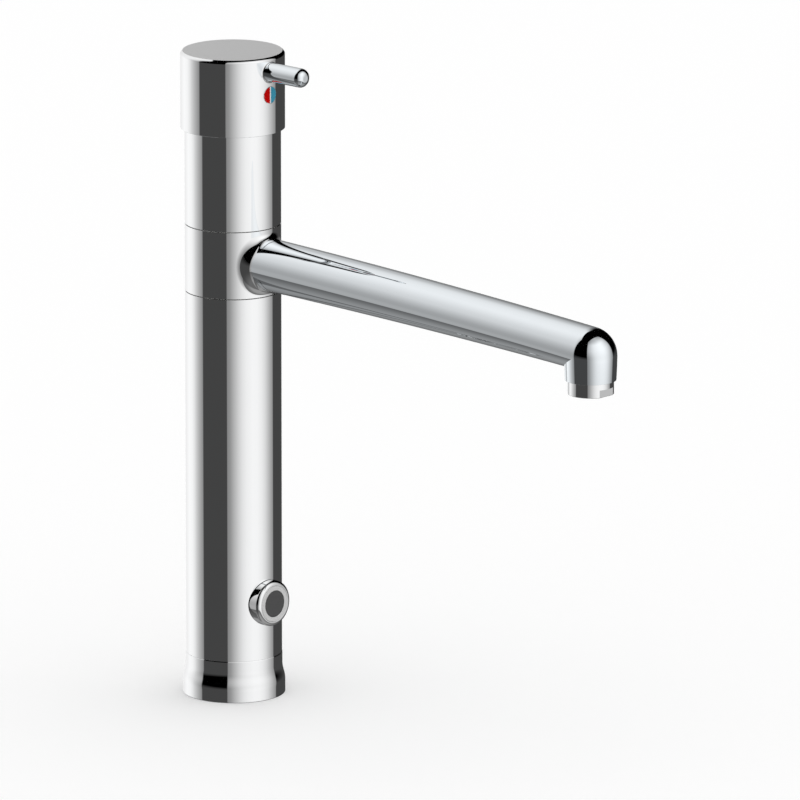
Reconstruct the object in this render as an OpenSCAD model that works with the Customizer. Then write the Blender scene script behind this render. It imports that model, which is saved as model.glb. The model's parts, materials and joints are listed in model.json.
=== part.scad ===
// Electronic mixer tap: a tall tube body with a swivelling spout, a turning cap
// with a side lever for the temperature, and a sensor low on the front.
// The origin is the centre of the foot's underside, the spout points along -Y.

/* [Body] */
// Outer diameter of the tube body
body_d = 47; // [46.5:0.5:50]
// Wall of the two body sleeves
body_wall = 2; // [1.6:0.1:2.2]
// Height of the flared foot
foot_h = 20.5; // [18:0.5:26]
// How far the foot stands out from the body at the deck
foot_flare = 1.55; // [1:0.05:4]
// Height of the foot's straight skirt
foot_skirt = 6.6; // [3:0.1:9]
// Height of the foot's straight rim under the seam
foot_rim = 3.5; // [1.5:0.1:5]
// Length of the lower sleeve
lower_h = 181.85; // [166:0.05:240]
// Height of the swivel collar
collar_h = 33.3; // [33:0.1:40]
// Length of the upper sleeve that shows
upper_h = 44.45; // [40:0.05:60]
// Length of the upper sleeve that is inside the cap
sleeve_entry = 14; // [12:0.5:15]
// Height of the dark seam on each side of the collar
seam = 0.3; // [0.2:0.05:0.6]

/* [Handle] */
// How far the cap stands out from the body
cap_step = 2; // [1.8:0.1:4]
// Height of the cap
cap_h = 41.2; // [40:0.1:48]
// Radius of the cap's top edge
cap_edge = 1.5; // [0.5:0.1:2.5]
// Height of the chamfer under the cap
cap_chamfer = 1.45; // [0.8:0.05:2]
// Thickness of the cap's top
cap_top_wall = 3; // [2:0.1:3.4]
// Diameter of the lever
lever_d = 9.2; // [7:0.1:11]
// Distance from the tap's axis to the lever's end
lever_reach = 47.5; // [38:0.5:70]
// Depth of the lever's axis below the cap's top
lever_drop = 6.85; // [6.5:0.05:8]
// Diameter of the red and blue mark
mark_d = 8.4; // [7:0.1:9]
// Depth of the mark's centre below the cap's top
mark_drop = 18.5; // [17:0.1:20]
// Width of the white line in the mark
mark_line = 0.7; // [0.4:0.1:1.2]

/* [Spout] */
// Distance from the tap's axis to the outlet's axis
spout_reach = 237.5; // [160:0.5:300]
// Diameter of the spout at the collar
spout_root_d = 25.4; // [22:0.1:26]
// Diameter of the spout at the elbow
spout_tip_d = 22.1; // [21:0.1:23]
// Wall of the spout
spout_wall = 1.5; // [1:0.1:1.8]
// Fall of the spout in degrees
spout_fall = 1.87; // [0:0.01:2.5]
// Diameter of the elbow's dome
dome_d = 24.8; // [24.6:0.1:27]
// Length of the nozzle below the dome's centre
nozzle_h = 13.9; // [13:0.1:20]
// Diameter of the nozzle at its lower rim
nozzle_d = 23.9; // [23.5:0.1:24.5]
// Diameter of the aerator
aerator_d = 21.6; // [21:0.1:21.8]
// Length of the aerator that shows
aerator_h = 6.3; // [5:0.1:9]
// Distance across the aerator's two wrench flats
aerator_flats = 19.8; // [19.2:0.1:20.4]
// Height of the wrench flats
flat_h = 3.8; // [2.5:0.1:4.5]

/* [Sensor] */
// Height of the sensor's centre above the deck
sensor_z = 48.75; // [46:0.25:60]
// Diameter of the sensor's head
sensor_d = 22.7; // [22.2:0.1:24]
// How far the sensor's face stands out from the body
sensor_stand = 4.3; // [3:0.1:8]
// Diameter of the dark lens
lens_d = 13.2; // [10:0.1:14]
// Diameter of the grey ring round the lens
bezel_d = 20.3; // [18:0.1:20.6]
// Radius of the sensor's front edge
sensor_edge = 1.1; // [0.5:0.1:1.1]

/* [Base] */
// Height of the brass base inside the foot and the sleeve
block_h = 32; // [31:0.5:34]
// Thickness of the rubber ring under the foot
gasket_t = 1; // [0.8:0.1:2]
// Radius of the hose ports' wall, for an M10x1 thread
port_r = 4.5; // [3.5:0.1:4.8]
// Depth of the hose ports
port_depth = 14; // [10:0.5:15]
// Radius of the stud holes' wall, for an M6 thread
stud_r = 2.5; // [2:0.1:3]
// Depth of the stud holes
stud_depth = 15; // [8:0.5:18]
// Diameter of the circle that the stud holes lie on
stud_circle = 26; // [24:0.5:30]

/* [Waterways] */
// Outer diameter of the riser tubes
riser_d = 8; // [6:0.5:8.5]
// Wall of the riser tubes
riser_wall = 0.8; // [0.5:0.1:1.2]
// Clearance between the risers and the sleeve
riser_gap = 1.2; // [0.8:0.1:1.5]
// Radius of the drilled water channels
channel_r = 3; // [2:0.1:3]
// Distance of the channels from the tap's axis
channel_place = 10.5; // [10.2:0.1:10.8]
// Distance of the hose ports from the tap's axis
port_place = 8; // [7.5:0.1:8.5]
// Direction of the cold side in degrees
water_angle = 18; // [16:1:20]
// Wall of the collar outside the journal
collar_wall = 5.9; // [5.5:0.1:6]
// Thickness of the swivel's thrust rings
washer_t = 1.3; // [0.8:0.1:1.6]
// Section diameter of the swivel's seals
seal_d = 1.5; // [1.2:0.1:2.3]
// Depth of the water groove round the journal
groove_depth = 1.5; // [1:0.1:2.3]
// Height of the core's flange
flange_h = 15; // [14:0.5:15.5]

/* [Electric valve] */
// Height of the valve body
valve_h = 22; // [21:0.5:23]
// Clearance between the valve body and the risers
valve_gap = 1.5; // [1:0.1:1.8]
// Length of the valve body from front to back
valve_l = 30; // [29:0.5:32]
// Height of the coil and its yoke
coil_h = 22.5; // [22:0.1:23.5]
// Clearance between the yoke and the risers
yoke_gap = 1.1; // [0.5:0.1:1.7]
// Wall of the yoke
yoke_wall = 1.1; // [0.8:0.1:1.3]
// Radius of the plunger
plunger_r = 3.55; // [3:0.05:3.9]
// Length of the plunger
plunger_l = 15.5; // [13:0.5:17]
// Wall of the armature tube
armature_wall = 0.9; // [0.5:0.1:1]
// Section diameter of the spring's wire
wire_d = 0.6; // [0.4:0.1:0.8]
// Turns of the spring
spring_turns = 5; // [3:1:6]

/* [Power and control] */
// Diameter of one battery cell
cell_d = 15.6; // [13:0.1:17]
// Length of one battery cell
cell_l = 27; // [22:0.5:34.5]
// Number of cells in the holder
cells = 2; // [1:1:2]
// Wall of the battery holder
holder_wall = 1; // [0.8:0.1:1.2]
// Length of the control module
module_h = 52; // [36:1:60]
// Width of the control module
module_w = 18; // [12:0.5:18]
// Depth of the control module
module_t = 10; // [9.8:0.1:10.6]
// Thickness of the inner chassis
chassis_t = 1.3; // [1:0.1:1.6]
// Radius of the leads
lead_r = 0.8; // [0.5:0.1:0.9]

/* [Cartridge] */
// Outer diameter of the mixing cartridge
cartridge_d = 35; // [34.6:0.1:37]
// Height of the mixing cartridge
cartridge_h = 36; // [34:0.5:37]
// Thickness of each ceramic disc
disc_t = 3; // [2:0.1:3.5]
// Radius of the stem
stem_r = 5; // [4.5:0.1:5.4]
// Width of the stem's square head
stem_square = 7; // [6:0.1:7.2]
// Height of the retaining nut
nut_h = 8; // [5:0.5:9]

/* [Hidden] */

$fn = 96;
chrome = [0.82, 0.83, 0.84];
satin = [0.71, 0.71, 0.72];
brass = [0.78, 0.63, 0.33];
steel = [0.62, 0.63, 0.65];
rubber = [0.12, 0.12, 0.13];
plastic = [0.85, 0.85, 0.82];
copper = [0.76, 0.45, 0.29];
ceramic = [0.93, 0.93, 0.9];
board_green = [0.1, 0.25, 0.14];
lens_dark = [0.16, 0.16, 0.17];
mark_red = [0.69, 0, 0];
mark_blue = [0.2, 0.52, 0.61];

// Clearance of a fixed fit, of a running fit, and the reach of a cut past a face
fit = 0.1;
run = 0.05;
cut = 1;
arc_steps = 10;

// Heights from the deck upwards
body_r = body_d / 2;
inner_r = body_r - body_wall;
z_collar = foot_h + lower_h;
z_upper = z_collar + collar_h;
z_cap = z_upper + upper_h;
z_top = z_cap + cap_h;

// The foot's outline, and the groove under foot and base for the rubber ring
foot_r = body_r + foot_flare;
foot_lip = 0.3;
waist_r = body_r + 0.15;
gasket_r = inner_r + 1.5;
gasket_w = 4.5;
gasket_bore_r = gasket_r - gasket_w;

// Each riser stands in a socket of the base and ends in one under the core's flange
riser_place = inner_r - riser_gap - riser_d / 2;
base_gallery_z = port_depth + channel_r;
socket_step = 2;
riser_low = base_gallery_z + channel_r + socket_step;
riser_grip = 4;
gallery_r = channel_r - 0.2;
core_gallery_rise = 9;

// The swivel: the collar's bore runs on the core's journal between two thrust rings
bore_r = body_r - collar_wall;
journal_r = bore_r - run;
collar_low = z_collar + seam / 2;
collar_high = z_upper - seam / 2;
flange_top = collar_low - run - washer_t;
flange_low = flange_top - flange_h;
seat_low = collar_high + run + washer_t;
seal_inset = 3.9;
seal_heights = [collar_low + seal_inset, collar_high - seal_inset];
groove_h = 16;
groove_r = journal_r - groove_depth;

// The mixing cartridge hangs down from its nut, just under the upper sleeve's end
sleeve_top = z_cap + sleeve_entry;
nut_top = sleeve_top - 0.5;
nut_low = nut_top - nut_h;
seat_top = nut_low - cartridge_h;
cartridge_r = cartridge_d / 2;
cartridge_base_h = 5;
disc_z = seat_top + cartridge_base_h;
disc_r = 15;
moving_z = disc_z + disc_t + run;
moving_r = disc_r - 0.5;
pocket_r = 8;
pocket_rim = 1;
pocket_depth = 1.2;
stem_z = moving_z + disc_t;
stem_flange_r = 13;
stem_flange_h = 3.4;
neck_r = 8;
neck_h = 4;
nut_hole_r = 2;
nut_hole_place = (neck_r + inner_r) / 2;
stem_seal_d = 1.8;
stem_seal_rise = 14;
stem_seal_z = stem_z + stem_seal_rise;
port_seal_d = 1.6;
port_seal_r = channel_r + 1.3;
screw_r = 1.5;
screw_head_r = 2.75;
screw_head_h = 2.5;
screw_grip = 5;
screw_socket = 1.5;
screw_socket_r = 1.4;
seat_screw_wall = 1.5;
seat_screw_place = journal_r - seal_d - run - screw_r - seat_screw_wall;
seat_screw_angle = 52;

// The cap
cap_r = body_r + cap_step;
cap_gap = 0.3;
cap_bore_r = body_r + cap_gap;
cap_bore_top = sleeve_top + 0.6;
cap_under = z_top - cap_top_wall;
cap_wall = 2.5;
hub_r = 12;
hub_low = nut_top + 1.2;
lever_z = z_top - lever_drop;
lever_r = lever_d / 2;
lever_sink = 1.6;
lever_shank_r = 3;
lever_shank_in = 14;
lever_seat = cap_r - lever_sink;
lever_boss_r = 5.5;
lever_edge = 1;
mark_z = z_top - mark_drop;
mark_r = mark_d / 2;
mark_skin = 0.4;
mark_proud = 0.15;
mark_rim = 0.25;
mark_back = body_r - 0.8;
grub_r = 2.5;
grub_l = 7.6;
grub_socket_r = 1.45;
grub_socket_depth = 3;
stem_top = cap_under - 5;
square_low = hub_low - 0.8;

// The spout, in a frame whose Z axis runs down the tube from the tap's axis
spout_z = z_collar + collar_h / 2;
root_r = spout_root_d / 2;
tip_r = spout_tip_d / 2;
root_depth = 4.45;
root_start = body_r - root_depth;
root_cover = 3.5;
root_straight = body_r + root_cover;
stub = 12.5;
tube_end = (spout_reach - stub) / cos(spout_fall);
axis_end = spout_reach / cos(spout_fall);
spigot_l = 6;
spigot_wall = 1.2;
flare_depth = 6.5;
flare_start = body_r - flare_depth;
flare_w = 3.05;
flare_margin = 0.9;
flare_start_r = min(root_r + flare_w, collar_h / 2 - flare_margin);
flare_end_w = 0.25;
flare_end_r = root_r + flare_end_w;
waterway_r = 9;
dome_r = dome_d / 2;
dome_cover = 0.15;
dome_z = spout_z - spout_reach * tan(spout_fall) + tip_r - dome_r + dome_cover;
nozzle_r = nozzle_d / 2;
nozzle_low = dome_z - nozzle_h;
outlet_low = nozzle_low - aerator_h;
aerator_r = aerator_d / 2;
thread_r = aerator_r - fit;
thread_h = 7;
nozzle_bore_r = 8;
insert_r = 8.5;
insert_h = 9;
lip_h = 1;
lip_r = 8;
seal_t = 1.6;
insert_slot = 1.5;
insert_pitch = 2.6;
insert_rows = 2;

// The sensor, in a frame whose Z axis points out of the body's front
face = body_r + sensor_stand;
sensor_r = sensor_d / 2;
shank_r = 8.5;
shank_in = 12;
shank_back = inner_r - shank_in;
gasket_skin = 0.4;
lens_r = lens_d / 2;
lens_t = 2.9;
lens_ledge = 1;
bezel_t = 1;
cavity_r = 7.4;
lens_floor = 1.2;
cavity_end = face - lens_t - lens_floor;
board_in = 9.8;
board_at = face - board_in;
board_t = 1.2;
diode_r = 1.5;
diode_l = 4;
diode_place = 3.4;
washer_in = 5.3;
washer_back = inner_r - washer_in;
washer_r = 10.8;
sensor_nut_h = 3.5;
rear_cap_t = 2;

// The electric valve hangs under the core's flange, on the tap's axis
valve_low = flange_low - valve_h;
valve_w = 2 * (riser_place * cos(water_angle) - riser_d / 2 - valve_gap);
clamp_wall = 0.5;
clamp_w = 2;
clamp_r = valve_w / 2 - clamp_wall;
chamber_r = clamp_r - clamp_w;
chamber_h = 4.5;
clamp_h = 1.85;
membrane_t = 1;
valve_seat_r = 4.2;
valve_seat_wall = 1;
valve_seat_bore = valve_seat_r - valve_seat_wall;
valve_inlet_rise = 1;
valve_gallery_rise = 11;
valve_gallery_z = valve_low + valve_gallery_rise;
valve_inlet_z = valve_low + clamp_h + valve_inlet_rise;
valve_screw_inset = 2.8;
valve_screw_x = valve_w / 2 - valve_screw_inset;
valve_screw_y = valve_l / 2 - valve_screw_inset;
valve_bleed_r = 1.5;
membrane_low = valve_low + clamp_h - membrane_t;
yoke_r = riser_place - riser_d / 2 - yoke_gap;
yoke_top = valve_low - screw_head_h - fit;
yoke_low = yoke_top - coil_h;
armature_bore = plunger_r + run;
armature_r = armature_bore + armature_wall;
armature_floor = yoke_low + 1.2;
armature_floor_t = 0.9;
plunger_top = membrane_low - run;
plunger_low = plunger_top - plunger_l;
spring_low = armature_floor + armature_floor_t;
spring_high = plunger_low;
spring_r = 2.4;
spring_ring_steps = 24;
spring_sides = 8;

// Power and control stand on a chassis above the base
holder_r = cell_d / 2 + fit + holder_wall;
holder_y = -8;
holder_rise = 15;
holder_low = sensor_z + holder_rise;
holder_floor = 1.5;
cell_nub_h = 1;
cell_nub_r = 3;
contact_t = 0.5;
contact_r = 6;
holder_top = holder_low + holder_floor + cells * cell_l + 2 * contact_t;
chassis_y = holder_y + holder_r + fit;
chassis_w = 18;
chassis_top = holder_top;
chassis_foot_l = 8;
chassis_foot_t = 2;
lead_gap = 0.4;
module_y = chassis_y + chassis_t + fit;
module_rise = 14;
module_low = sensor_z + module_rise;
module_edge = 1.5;
lead_y = module_y + module_t / 2;
coil_lead_y = yoke_r + lead_r + fit;
coil_lead_rise = 10;
coil_lead_z = yoke_low + coil_lead_rise;

// A quarter circle of radius r round (x, y), from the direction a0 to a1
function arc(x, y, r, a0, a1) =
  [for (i = [0:arc_steps]) let (a = a0 + (a1 - a0) * i / arc_steps) [x + r * cos(a), y + r * sin(a)]];

// A smooth step from 0 to 1
function ease(t) = t * t * (3 - 2 * t);

module ring(outer, inner, h) {
  difference() {
    cylinder(r = outer, h = h);
    translate([0, 0, -cut]) cylinder(r = inner, h = h + 2 * cut);
  }
}

module torus(middle, section) {
  rotate_extrude() translate([middle, 0]) circle(d = section, $fn = 32);
}

// Places its children at an angle and a distance from the tap's axis
module polar(angle, place) {
  rotate([0, 0, angle]) translate([place, 0, 0]) children();
}

// Local Z points out of the body's front at height z
module front(z) {
  translate([0, 0, z]) rotate([90, 0, 0]) children();
}

// Local Z runs down the spout's axis
module down_spout() {
  translate([0, 0, spout_z]) rotate([90 + spout_fall, 0, 0]) children();
}

module outlet(z) {
  translate([0, -spout_reach, z]) children();
}

// The hot side is the mirror of the cold side
module both_sides() {
  for (angle = [water_angle, 180 - water_angle]) rotate([0, 0, angle]) children();
}

module base_foot() {
  outline = concat(
    [[inner_r, 0], [foot_r - foot_lip, 0], [foot_r, foot_lip]],
    [for (i = [0:arc_steps])
      let (t = i / arc_steps)
      [foot_r + (waist_r - foot_r) * ease(t), foot_skirt + (foot_h - foot_rim - foot_skirt) * t]],
    [[waist_r, foot_h], [inner_r, foot_h]]);
  color(chrome) difference() {
    rotate_extrude() polygon(outline);
    translate([0, 0, -cut]) cylinder(r = gasket_r, h = gasket_t + cut);
  }
}

module deck_gasket() {
  color(rubber) ring(gasket_r - fit, gasket_bore_r, gasket_t);
}

module base_block() {
  color(brass) difference() {
    cylinder(r = inner_r - fit, h = block_h);
    translate([0, 0, -cut]) ring(body_r, gasket_bore_r - fit, gasket_t + cut);
    both_sides() {
      translate([port_place, 0, -cut]) cylinder(r = port_r, h = port_depth + cut);
      translate([port_place, 0, 0]) cylinder(r = channel_r, h = port_depth + channel_r);
      translate([port_place, 0, base_gallery_z]) rotate([0, 90, 0])
        cylinder(r = gallery_r, h = riser_place - port_place);
      translate([riser_place, 0, base_gallery_z]) cylinder(r = channel_r, h = block_h);
      translate([riser_place, 0, riser_low]) cylinder(r = riser_d / 2 + fit, h = block_h);
    }
    for (side = [90, 270]) polar(side, stud_circle / 2)
      translate([0, 0, -cut]) cylinder(r = stud_r, h = stud_depth + cut);
  }
}

module lower_sleeve() {
  color(chrome) difference() {
    translate([0, 0, foot_h]) ring(body_r, inner_r, collar_low - seam - foot_h);
    front(sensor_z) cylinder(r = shank_r + fit, h = body_r + cut);
  }
}

module upper_sleeve() {
  low = collar_high + seam;
  color(chrome) translate([0, 0, low]) ring(body_r, inner_r, sleeve_top - low);
}

module swivel_core() {
  gallery_z = flange_low + core_gallery_rise;
  color(brass) difference() {
    union() {
      translate([0, 0, flange_low]) cylinder(r = inner_r - fit, h = flange_h);
      translate([0, 0, flange_low]) cylinder(r = journal_r, h = seat_low - flange_low);
    }
    translate([0, 0, spout_z - groove_h / 2]) ring(bore_r + cut, groove_r, groove_h);
    for (z = seal_heights) translate([0, 0, z - seal_d / 2 - fit])
      ring(bore_r + cut, journal_r - seal_d - run, seal_d + 2 * fit);
    both_sides() {
      translate([channel_place, 0, gallery_z - channel_r]) cylinder(r = channel_r, h = seat_low);
      translate([channel_place, 0, gallery_z]) rotate([0, 90, 0])
        cylinder(r = gallery_r, h = riser_place - channel_place);
      translate([riser_place, 0, flange_low - cut])
        cylinder(r = riser_d / 2 + fit, h = riser_grip + cut);
      translate([riser_place, 0, flange_low]) cylinder(r = channel_r, h = gallery_z - flange_low);
    }
    polar(90, channel_place) translate([0, 0, flange_low - cut]) cylinder(r = channel_r, h = seat_low);
    polar(270, channel_place) translate([0, 0, flange_low - cut])
      cylinder(r = channel_r, h = spout_z - flange_low + cut);
    front(spout_z - channel_r) translate([0, 0, channel_place]) cylinder(r = channel_r, h = body_r);
    valve_screw_places() translate([0, 0, flange_low - cut])
      cylinder(r = screw_r, h = screw_grip + fit + cut);
    seat_screw_places() translate([0, 0, seat_low - screw_grip - fit])
      cylinder(r = screw_r, h = screw_grip + cut);
  }
}

// Two screws of the cartridge seat, clear of the three water channels
module seat_screw_places() {
  for (side = [-1, 1]) polar(270 + side * seat_screw_angle, seat_screw_place) children();
}

module valve_screw_places() {
  for (x = [-1, 1], y = [-1, 1]) translate([x * valve_screw_x, y * valve_screw_y, 0]) children();
}

// The three channels that reach the cartridge: cold, mixed and hot
module cartridge_ports() {
  for (angle = [water_angle, 90, 180 - water_angle]) polar(angle, channel_place) children();
}

module cartridge_seat() {
  color(brass) difference() {
    translate([0, 0, seat_low]) cylinder(r = inner_r - fit, h = seat_top - seat_low);
    cartridge_ports() {
      translate([0, 0, seat_low - cut]) cylinder(r = channel_r, h = seat_top);
      translate([0, 0, seat_top - port_seal_d])
        ring(port_seal_r + port_seal_d / 2 + run, port_seal_r - port_seal_d / 2 - run, port_seal_d + cut);
    }
    seat_screw_places() {
      translate([0, 0, seat_low - cut]) cylinder(r = screw_r + fit, h = seat_top);
      translate([0, 0, seat_top - screw_head_h - 2 * fit]) cylinder(r = screw_head_r + fit, h = seat_top);
    }
  }
}

module seat_screws() {
  head_z = seat_top - screw_head_h - 2 * fit;
  color(steel) seat_screw_places() difference() {
    union() {
      translate([0, 0, seat_low - screw_grip])
        cylinder(r = screw_r - run, h = head_z - seat_low + screw_grip);
      translate([0, 0, head_z]) cylinder(r = screw_head_r, h = screw_head_h);
    }
    translate([0, 0, head_z + screw_head_h - screw_socket])
      cylinder(r = screw_socket_r, h = screw_head_h, $fn = 6);
  }
}

module thrust_ring(z) {
  color(plastic) translate([0, 0, z]) ring(inner_r - fit, journal_r + fit, washer_t);
}

module lower_bearing_ring() {
  thrust_ring(flange_top);
}

module upper_bearing_ring() {
  thrust_ring(collar_high + run);
}

module swivel_o_rings() {
  color(rubber) for (z = seal_heights) translate([0, 0, z]) torus(journal_r - seal_d / 2, seal_d);
}

module riser(angle) {
  color(copper) polar(angle, riser_place) translate([0, 0, riser_low])
    ring(riser_d / 2, riser_d / 2 - riser_wall, flange_low + riser_grip - riser_low);
}

module cold_riser() {
  riser(water_angle);
}

module hot_riser() {
  riser(180 - water_angle);
}

module valve_body() {
  color(brass) difference() {
    translate([-valve_w / 2, -valve_l / 2, valve_low]) cube([valve_w, valve_l, valve_h]);
    translate([0, 0, valve_low - cut]) cylinder(r = clamp_r, h = clamp_h + cut);
    translate([0, 0, valve_low + clamp_h - fit])
      ring(chamber_r, valve_seat_r, chamber_h + fit);
    translate([0, 0, valve_low]) cylinder(r = valve_seat_bore, h = valve_gallery_z - valve_low);
    front(valve_gallery_z) cylinder(r = gallery_r, h = channel_place);
    translate([0, -channel_place, valve_gallery_z]) cylinder(r = channel_r, h = valve_h);
    translate([0, channel_place, valve_inlet_z]) cylinder(r = channel_r, h = valve_h);
    front(valve_inlet_z + channel_r) translate([0, 0, -channel_place])
      cylinder(r = valve_bleed_r, h = channel_place - valve_seat_r - valve_seat_wall);
    valve_screw_places() translate([0, 0, valve_low - cut])
      cylinder(r = screw_r + fit, h = valve_h + 2 * cut);
  }
}

module valve_diaphragm() {
  color(rubber) translate([0, 0, membrane_low]) cylinder(r = clamp_r - fit, h = membrane_t);
}

module valve_screws() {
  color(steel) valve_screw_places() difference() {
    union() {
      translate([0, 0, valve_low]) cylinder(r = screw_r - run, h = valve_h + screw_grip);
      translate([0, 0, valve_low - screw_head_h]) cylinder(r = screw_head_r, h = screw_head_h);
    }
    translate([0, 0, valve_low - screw_head_h - cut])
      cylinder(r = screw_socket_r, h = screw_socket + cut, $fn = 6);
  }
}

module armature_tube() {
  color(steel) difference() {
    union() {
      translate([0, 0, yoke_top]) cylinder(r = clamp_r - fit, h = membrane_low - yoke_top);
      translate([0, 0, armature_floor]) cylinder(r = armature_r, h = yoke_top - armature_floor);
    }
    translate([0, 0, spring_low]) cylinder(r = armature_bore, h = membrane_low - spring_low + cut);
  }
}

module solenoid_coil() {
  low = yoke_low + yoke_wall;
  color(copper) translate([0, 0, low])
    ring(yoke_r - yoke_wall - fit, armature_r + fit, yoke_top - low - fit);
}

module solenoid_yoke() {
  color(steel) difference() {
    translate([0, 0, yoke_low]) cylinder(r = yoke_r, h = coil_h);
    translate([0, 0, yoke_low + yoke_wall]) cylinder(r = yoke_r - yoke_wall, h = coil_h);
    translate([0, 0, yoke_low - cut]) cylinder(r = armature_r + fit, h = coil_h);
    translate([0, 0, coil_lead_z]) rotate([-90, 0, 0]) cylinder(r = lead_r + fit, h = yoke_r + cut);
  }
}

// A wire of round section that follows a helix, its two ends closed
module solenoid_spring() {
  rings = spring_turns * spring_ring_steps;
  rise = spring_high - spring_low - wire_d - 2 * run;
  points = [for (i = [0:rings], j = [0:spring_sides - 1])
    let (turn = 360 * i / spring_ring_steps, side = 360 * j / spring_sides,
         r = spring_r + wire_d / 2 * cos(side))
    [r * cos(turn), r * sin(turn),
     spring_low + run + wire_d / 2 + rise * i / rings + wire_d / 2 * sin(side)]];
  skin = [for (i = [0:rings - 1], j = [0:spring_sides - 1])
    let (a = i * spring_sides + j, b = i * spring_sides + (j + 1) % spring_sides)
    each [[a, b, a + spring_sides], [b, b + spring_sides, a + spring_sides]]];
  first = [for (j = [1:spring_sides - 2]) [0, j + 1, j]];
  last_ring = rings * spring_sides;
  last = [for (j = [1:spring_sides - 2]) [last_ring, last_ring + j, last_ring + j + 1]];
  echo(spring_gap = rise / spring_turns - wire_d);
  color(steel) polyhedron(points, concat(skin, first, last));
}

module solenoid_plunger() {
  color(steel) translate([0, 0, plunger_low]) cylinder(r = plunger_r, h = plunger_l);
}

module inner_chassis() {
  color(plastic) difference() {
    translate([-chassis_w / 2, chassis_y, block_h]) {
      cube([chassis_w, chassis_t, chassis_top - block_h]);
      cube([chassis_w, chassis_foot_l, chassis_foot_t]);
    }
    front(sensor_z) translate([0, 0, -body_r]) cylinder(r = lead_r + lead_gap, h = body_r);
  }
}

module battery_holder() {
  color(rubber) translate([0, holder_y, 0]) difference() {
    translate([0, 0, holder_low]) cylinder(r = holder_r, h = holder_top - holder_low);
    translate([0, 0, holder_low + holder_floor]) cylinder(r = cell_d / 2 + fit, h = holder_top);
  }
}

module battery_cells() {
  color(satin) for (i = [0:cells - 1])
    translate([0, holder_y, holder_low + holder_floor + contact_t + i * cell_l]) {
      cylinder(d = cell_d, h = cell_l - cell_nub_h - fit);
      cylinder(r = cell_nub_r, h = cell_l - fit / 2);
    }
}

module battery_contacts() {
  color(brass) for (z = [holder_low + holder_floor, holder_top - contact_t])
    translate([0, holder_y, z]) cylinder(r = contact_r, h = contact_t - fit / 2);
}

module control_module() {
  color(board_green) difference() {
    translate([-module_w / 2, module_y, module_low]) cube([module_w, module_t, module_h]);
    for (x = [-1, 1]) translate([x * module_w / 2, module_y + module_t, module_low - cut])
      rotate([0, 0, 45]) cube([module_edge, module_edge, 2 * (module_h + 2 * cut)], center = true);
  }
}

module sensor_lead() {
  color(rubber) {
    front(sensor_z) translate([0, 0, -lead_y]) cylinder(r = lead_r, h = lead_y + board_at);
    translate([0, lead_y, sensor_z]) sphere(r = lead_r);
    translate([0, lead_y, sensor_z]) cylinder(r = lead_r, h = module_low - sensor_z);
  }
}

module solenoid_lead() {
  module_top = module_low + module_h;
  coil_r = yoke_r - yoke_wall - fit;
  color(rubber) {
    translate([0, coil_lead_y, module_top]) cylinder(r = lead_r, h = coil_lead_z - module_top);
    translate([0, coil_lead_y, coil_lead_z]) sphere(r = lead_r);
    translate([0, coil_r + run, coil_lead_z]) rotate([-90, 0, 0])
      cylinder(r = lead_r, h = coil_lead_y - coil_r - run);
  }
}

module sensor_housing() {
  head_low = body_r / 2;
  outline = concat([[0, head_low], [sensor_r, head_low]],
    arc(sensor_r - sensor_edge, face - sensor_edge, sensor_edge, 0, 90), [[0, face]]);
  color(chrome) difference() {
    union() {
      difference() {
        front(sensor_z) rotate_extrude() polygon(outline);
        cylinder(r = body_r + gasket_skin, h = z_collar);
      }
      front(sensor_z) translate([0, 0, shank_back]) cylinder(r = shank_r, h = face - shank_back - lens_t);
    }
    front(sensor_z) {
      translate([0, 0, shank_back - cut]) cylinder(r = cavity_r, h = cavity_end - shank_back + cut);
      cylinder(r = lens_r - lens_ledge, h = face);
      translate([0, 0, face - lens_t]) cylinder(r = lens_r + run, h = lens_t + cut);
      translate([0, 0, face - bezel_t]) cylinder(d = bezel_d, h = bezel_t + cut);
    }
  }
}

module sensor_bezel() {
  color(satin) front(sensor_z) translate([0, 0, face - bezel_t])
    ring(bezel_d / 2 - run, lens_r + run, bezel_t);
}

module sensor_lens() {
  color(lens_dark) front(sensor_z) translate([0, 0, face - lens_t])
    cylinder(r = lens_r, h = lens_t);
}

// A thin saddle between the sensor's head and the sleeve
module sensor_gasket() {
  color(rubber) difference() {
    front(sensor_z) cylinder(r = sensor_r - gasket_skin, h = body_r + cut);
    front(sensor_z) cylinder(r = shank_r + fit, h = body_r + 2 * cut);
    cylinder(r = body_r, h = z_collar);
    difference() {
      cylinder(r = 2 * body_r, h = z_collar);
      translate([0, 0, -cut]) cylinder(r = body_r + gasket_skin, h = z_collar + 2 * cut);
    }
  }
}

// A saddle that fills the space between the flat nut and the sleeve's round wall
module sensor_washer() {
  color(plastic) intersection() {
    front(sensor_z) translate([0, 0, washer_back]) ring(washer_r, shank_r + fit, body_r - washer_back);
    cylinder(r = inner_r - run, h = z_collar);
  }
}

module sensor_nut() {
  color(brass) front(sensor_z) translate([0, 0, washer_back - sensor_nut_h]) difference() {
    cylinder(r = washer_r, h = sensor_nut_h, $fn = 6);
    translate([0, 0, -cut]) cylinder(r = shank_r + run, h = sensor_nut_h + 2 * cut);
  }
}

module sensor_board() {
  color(board_green) front(sensor_z) translate([0, 0, board_at])
    cylinder(r = cavity_r - run, h = board_t);
}

// One infrared diode, left or right of the sensor's centre
module diode(side) {
  front(sensor_z) translate([side * diode_place, 0, board_at + board_t]) {
    cylinder(r = diode_r, h = diode_l - diode_r);
    translate([0, 0, diode_l - diode_r]) sphere(r = diode_r);
  }
}

module ir_emitter() {
  color(satin) diode(-1);
}

module ir_receiver() {
  color(lens_dark) diode(1);
}

module sensor_rear_cap() {
  color(rubber) front(sensor_z) translate([0, 0, shank_back])
    ring(cavity_r - run, lead_r + fit, rear_cap_t);
}

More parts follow.
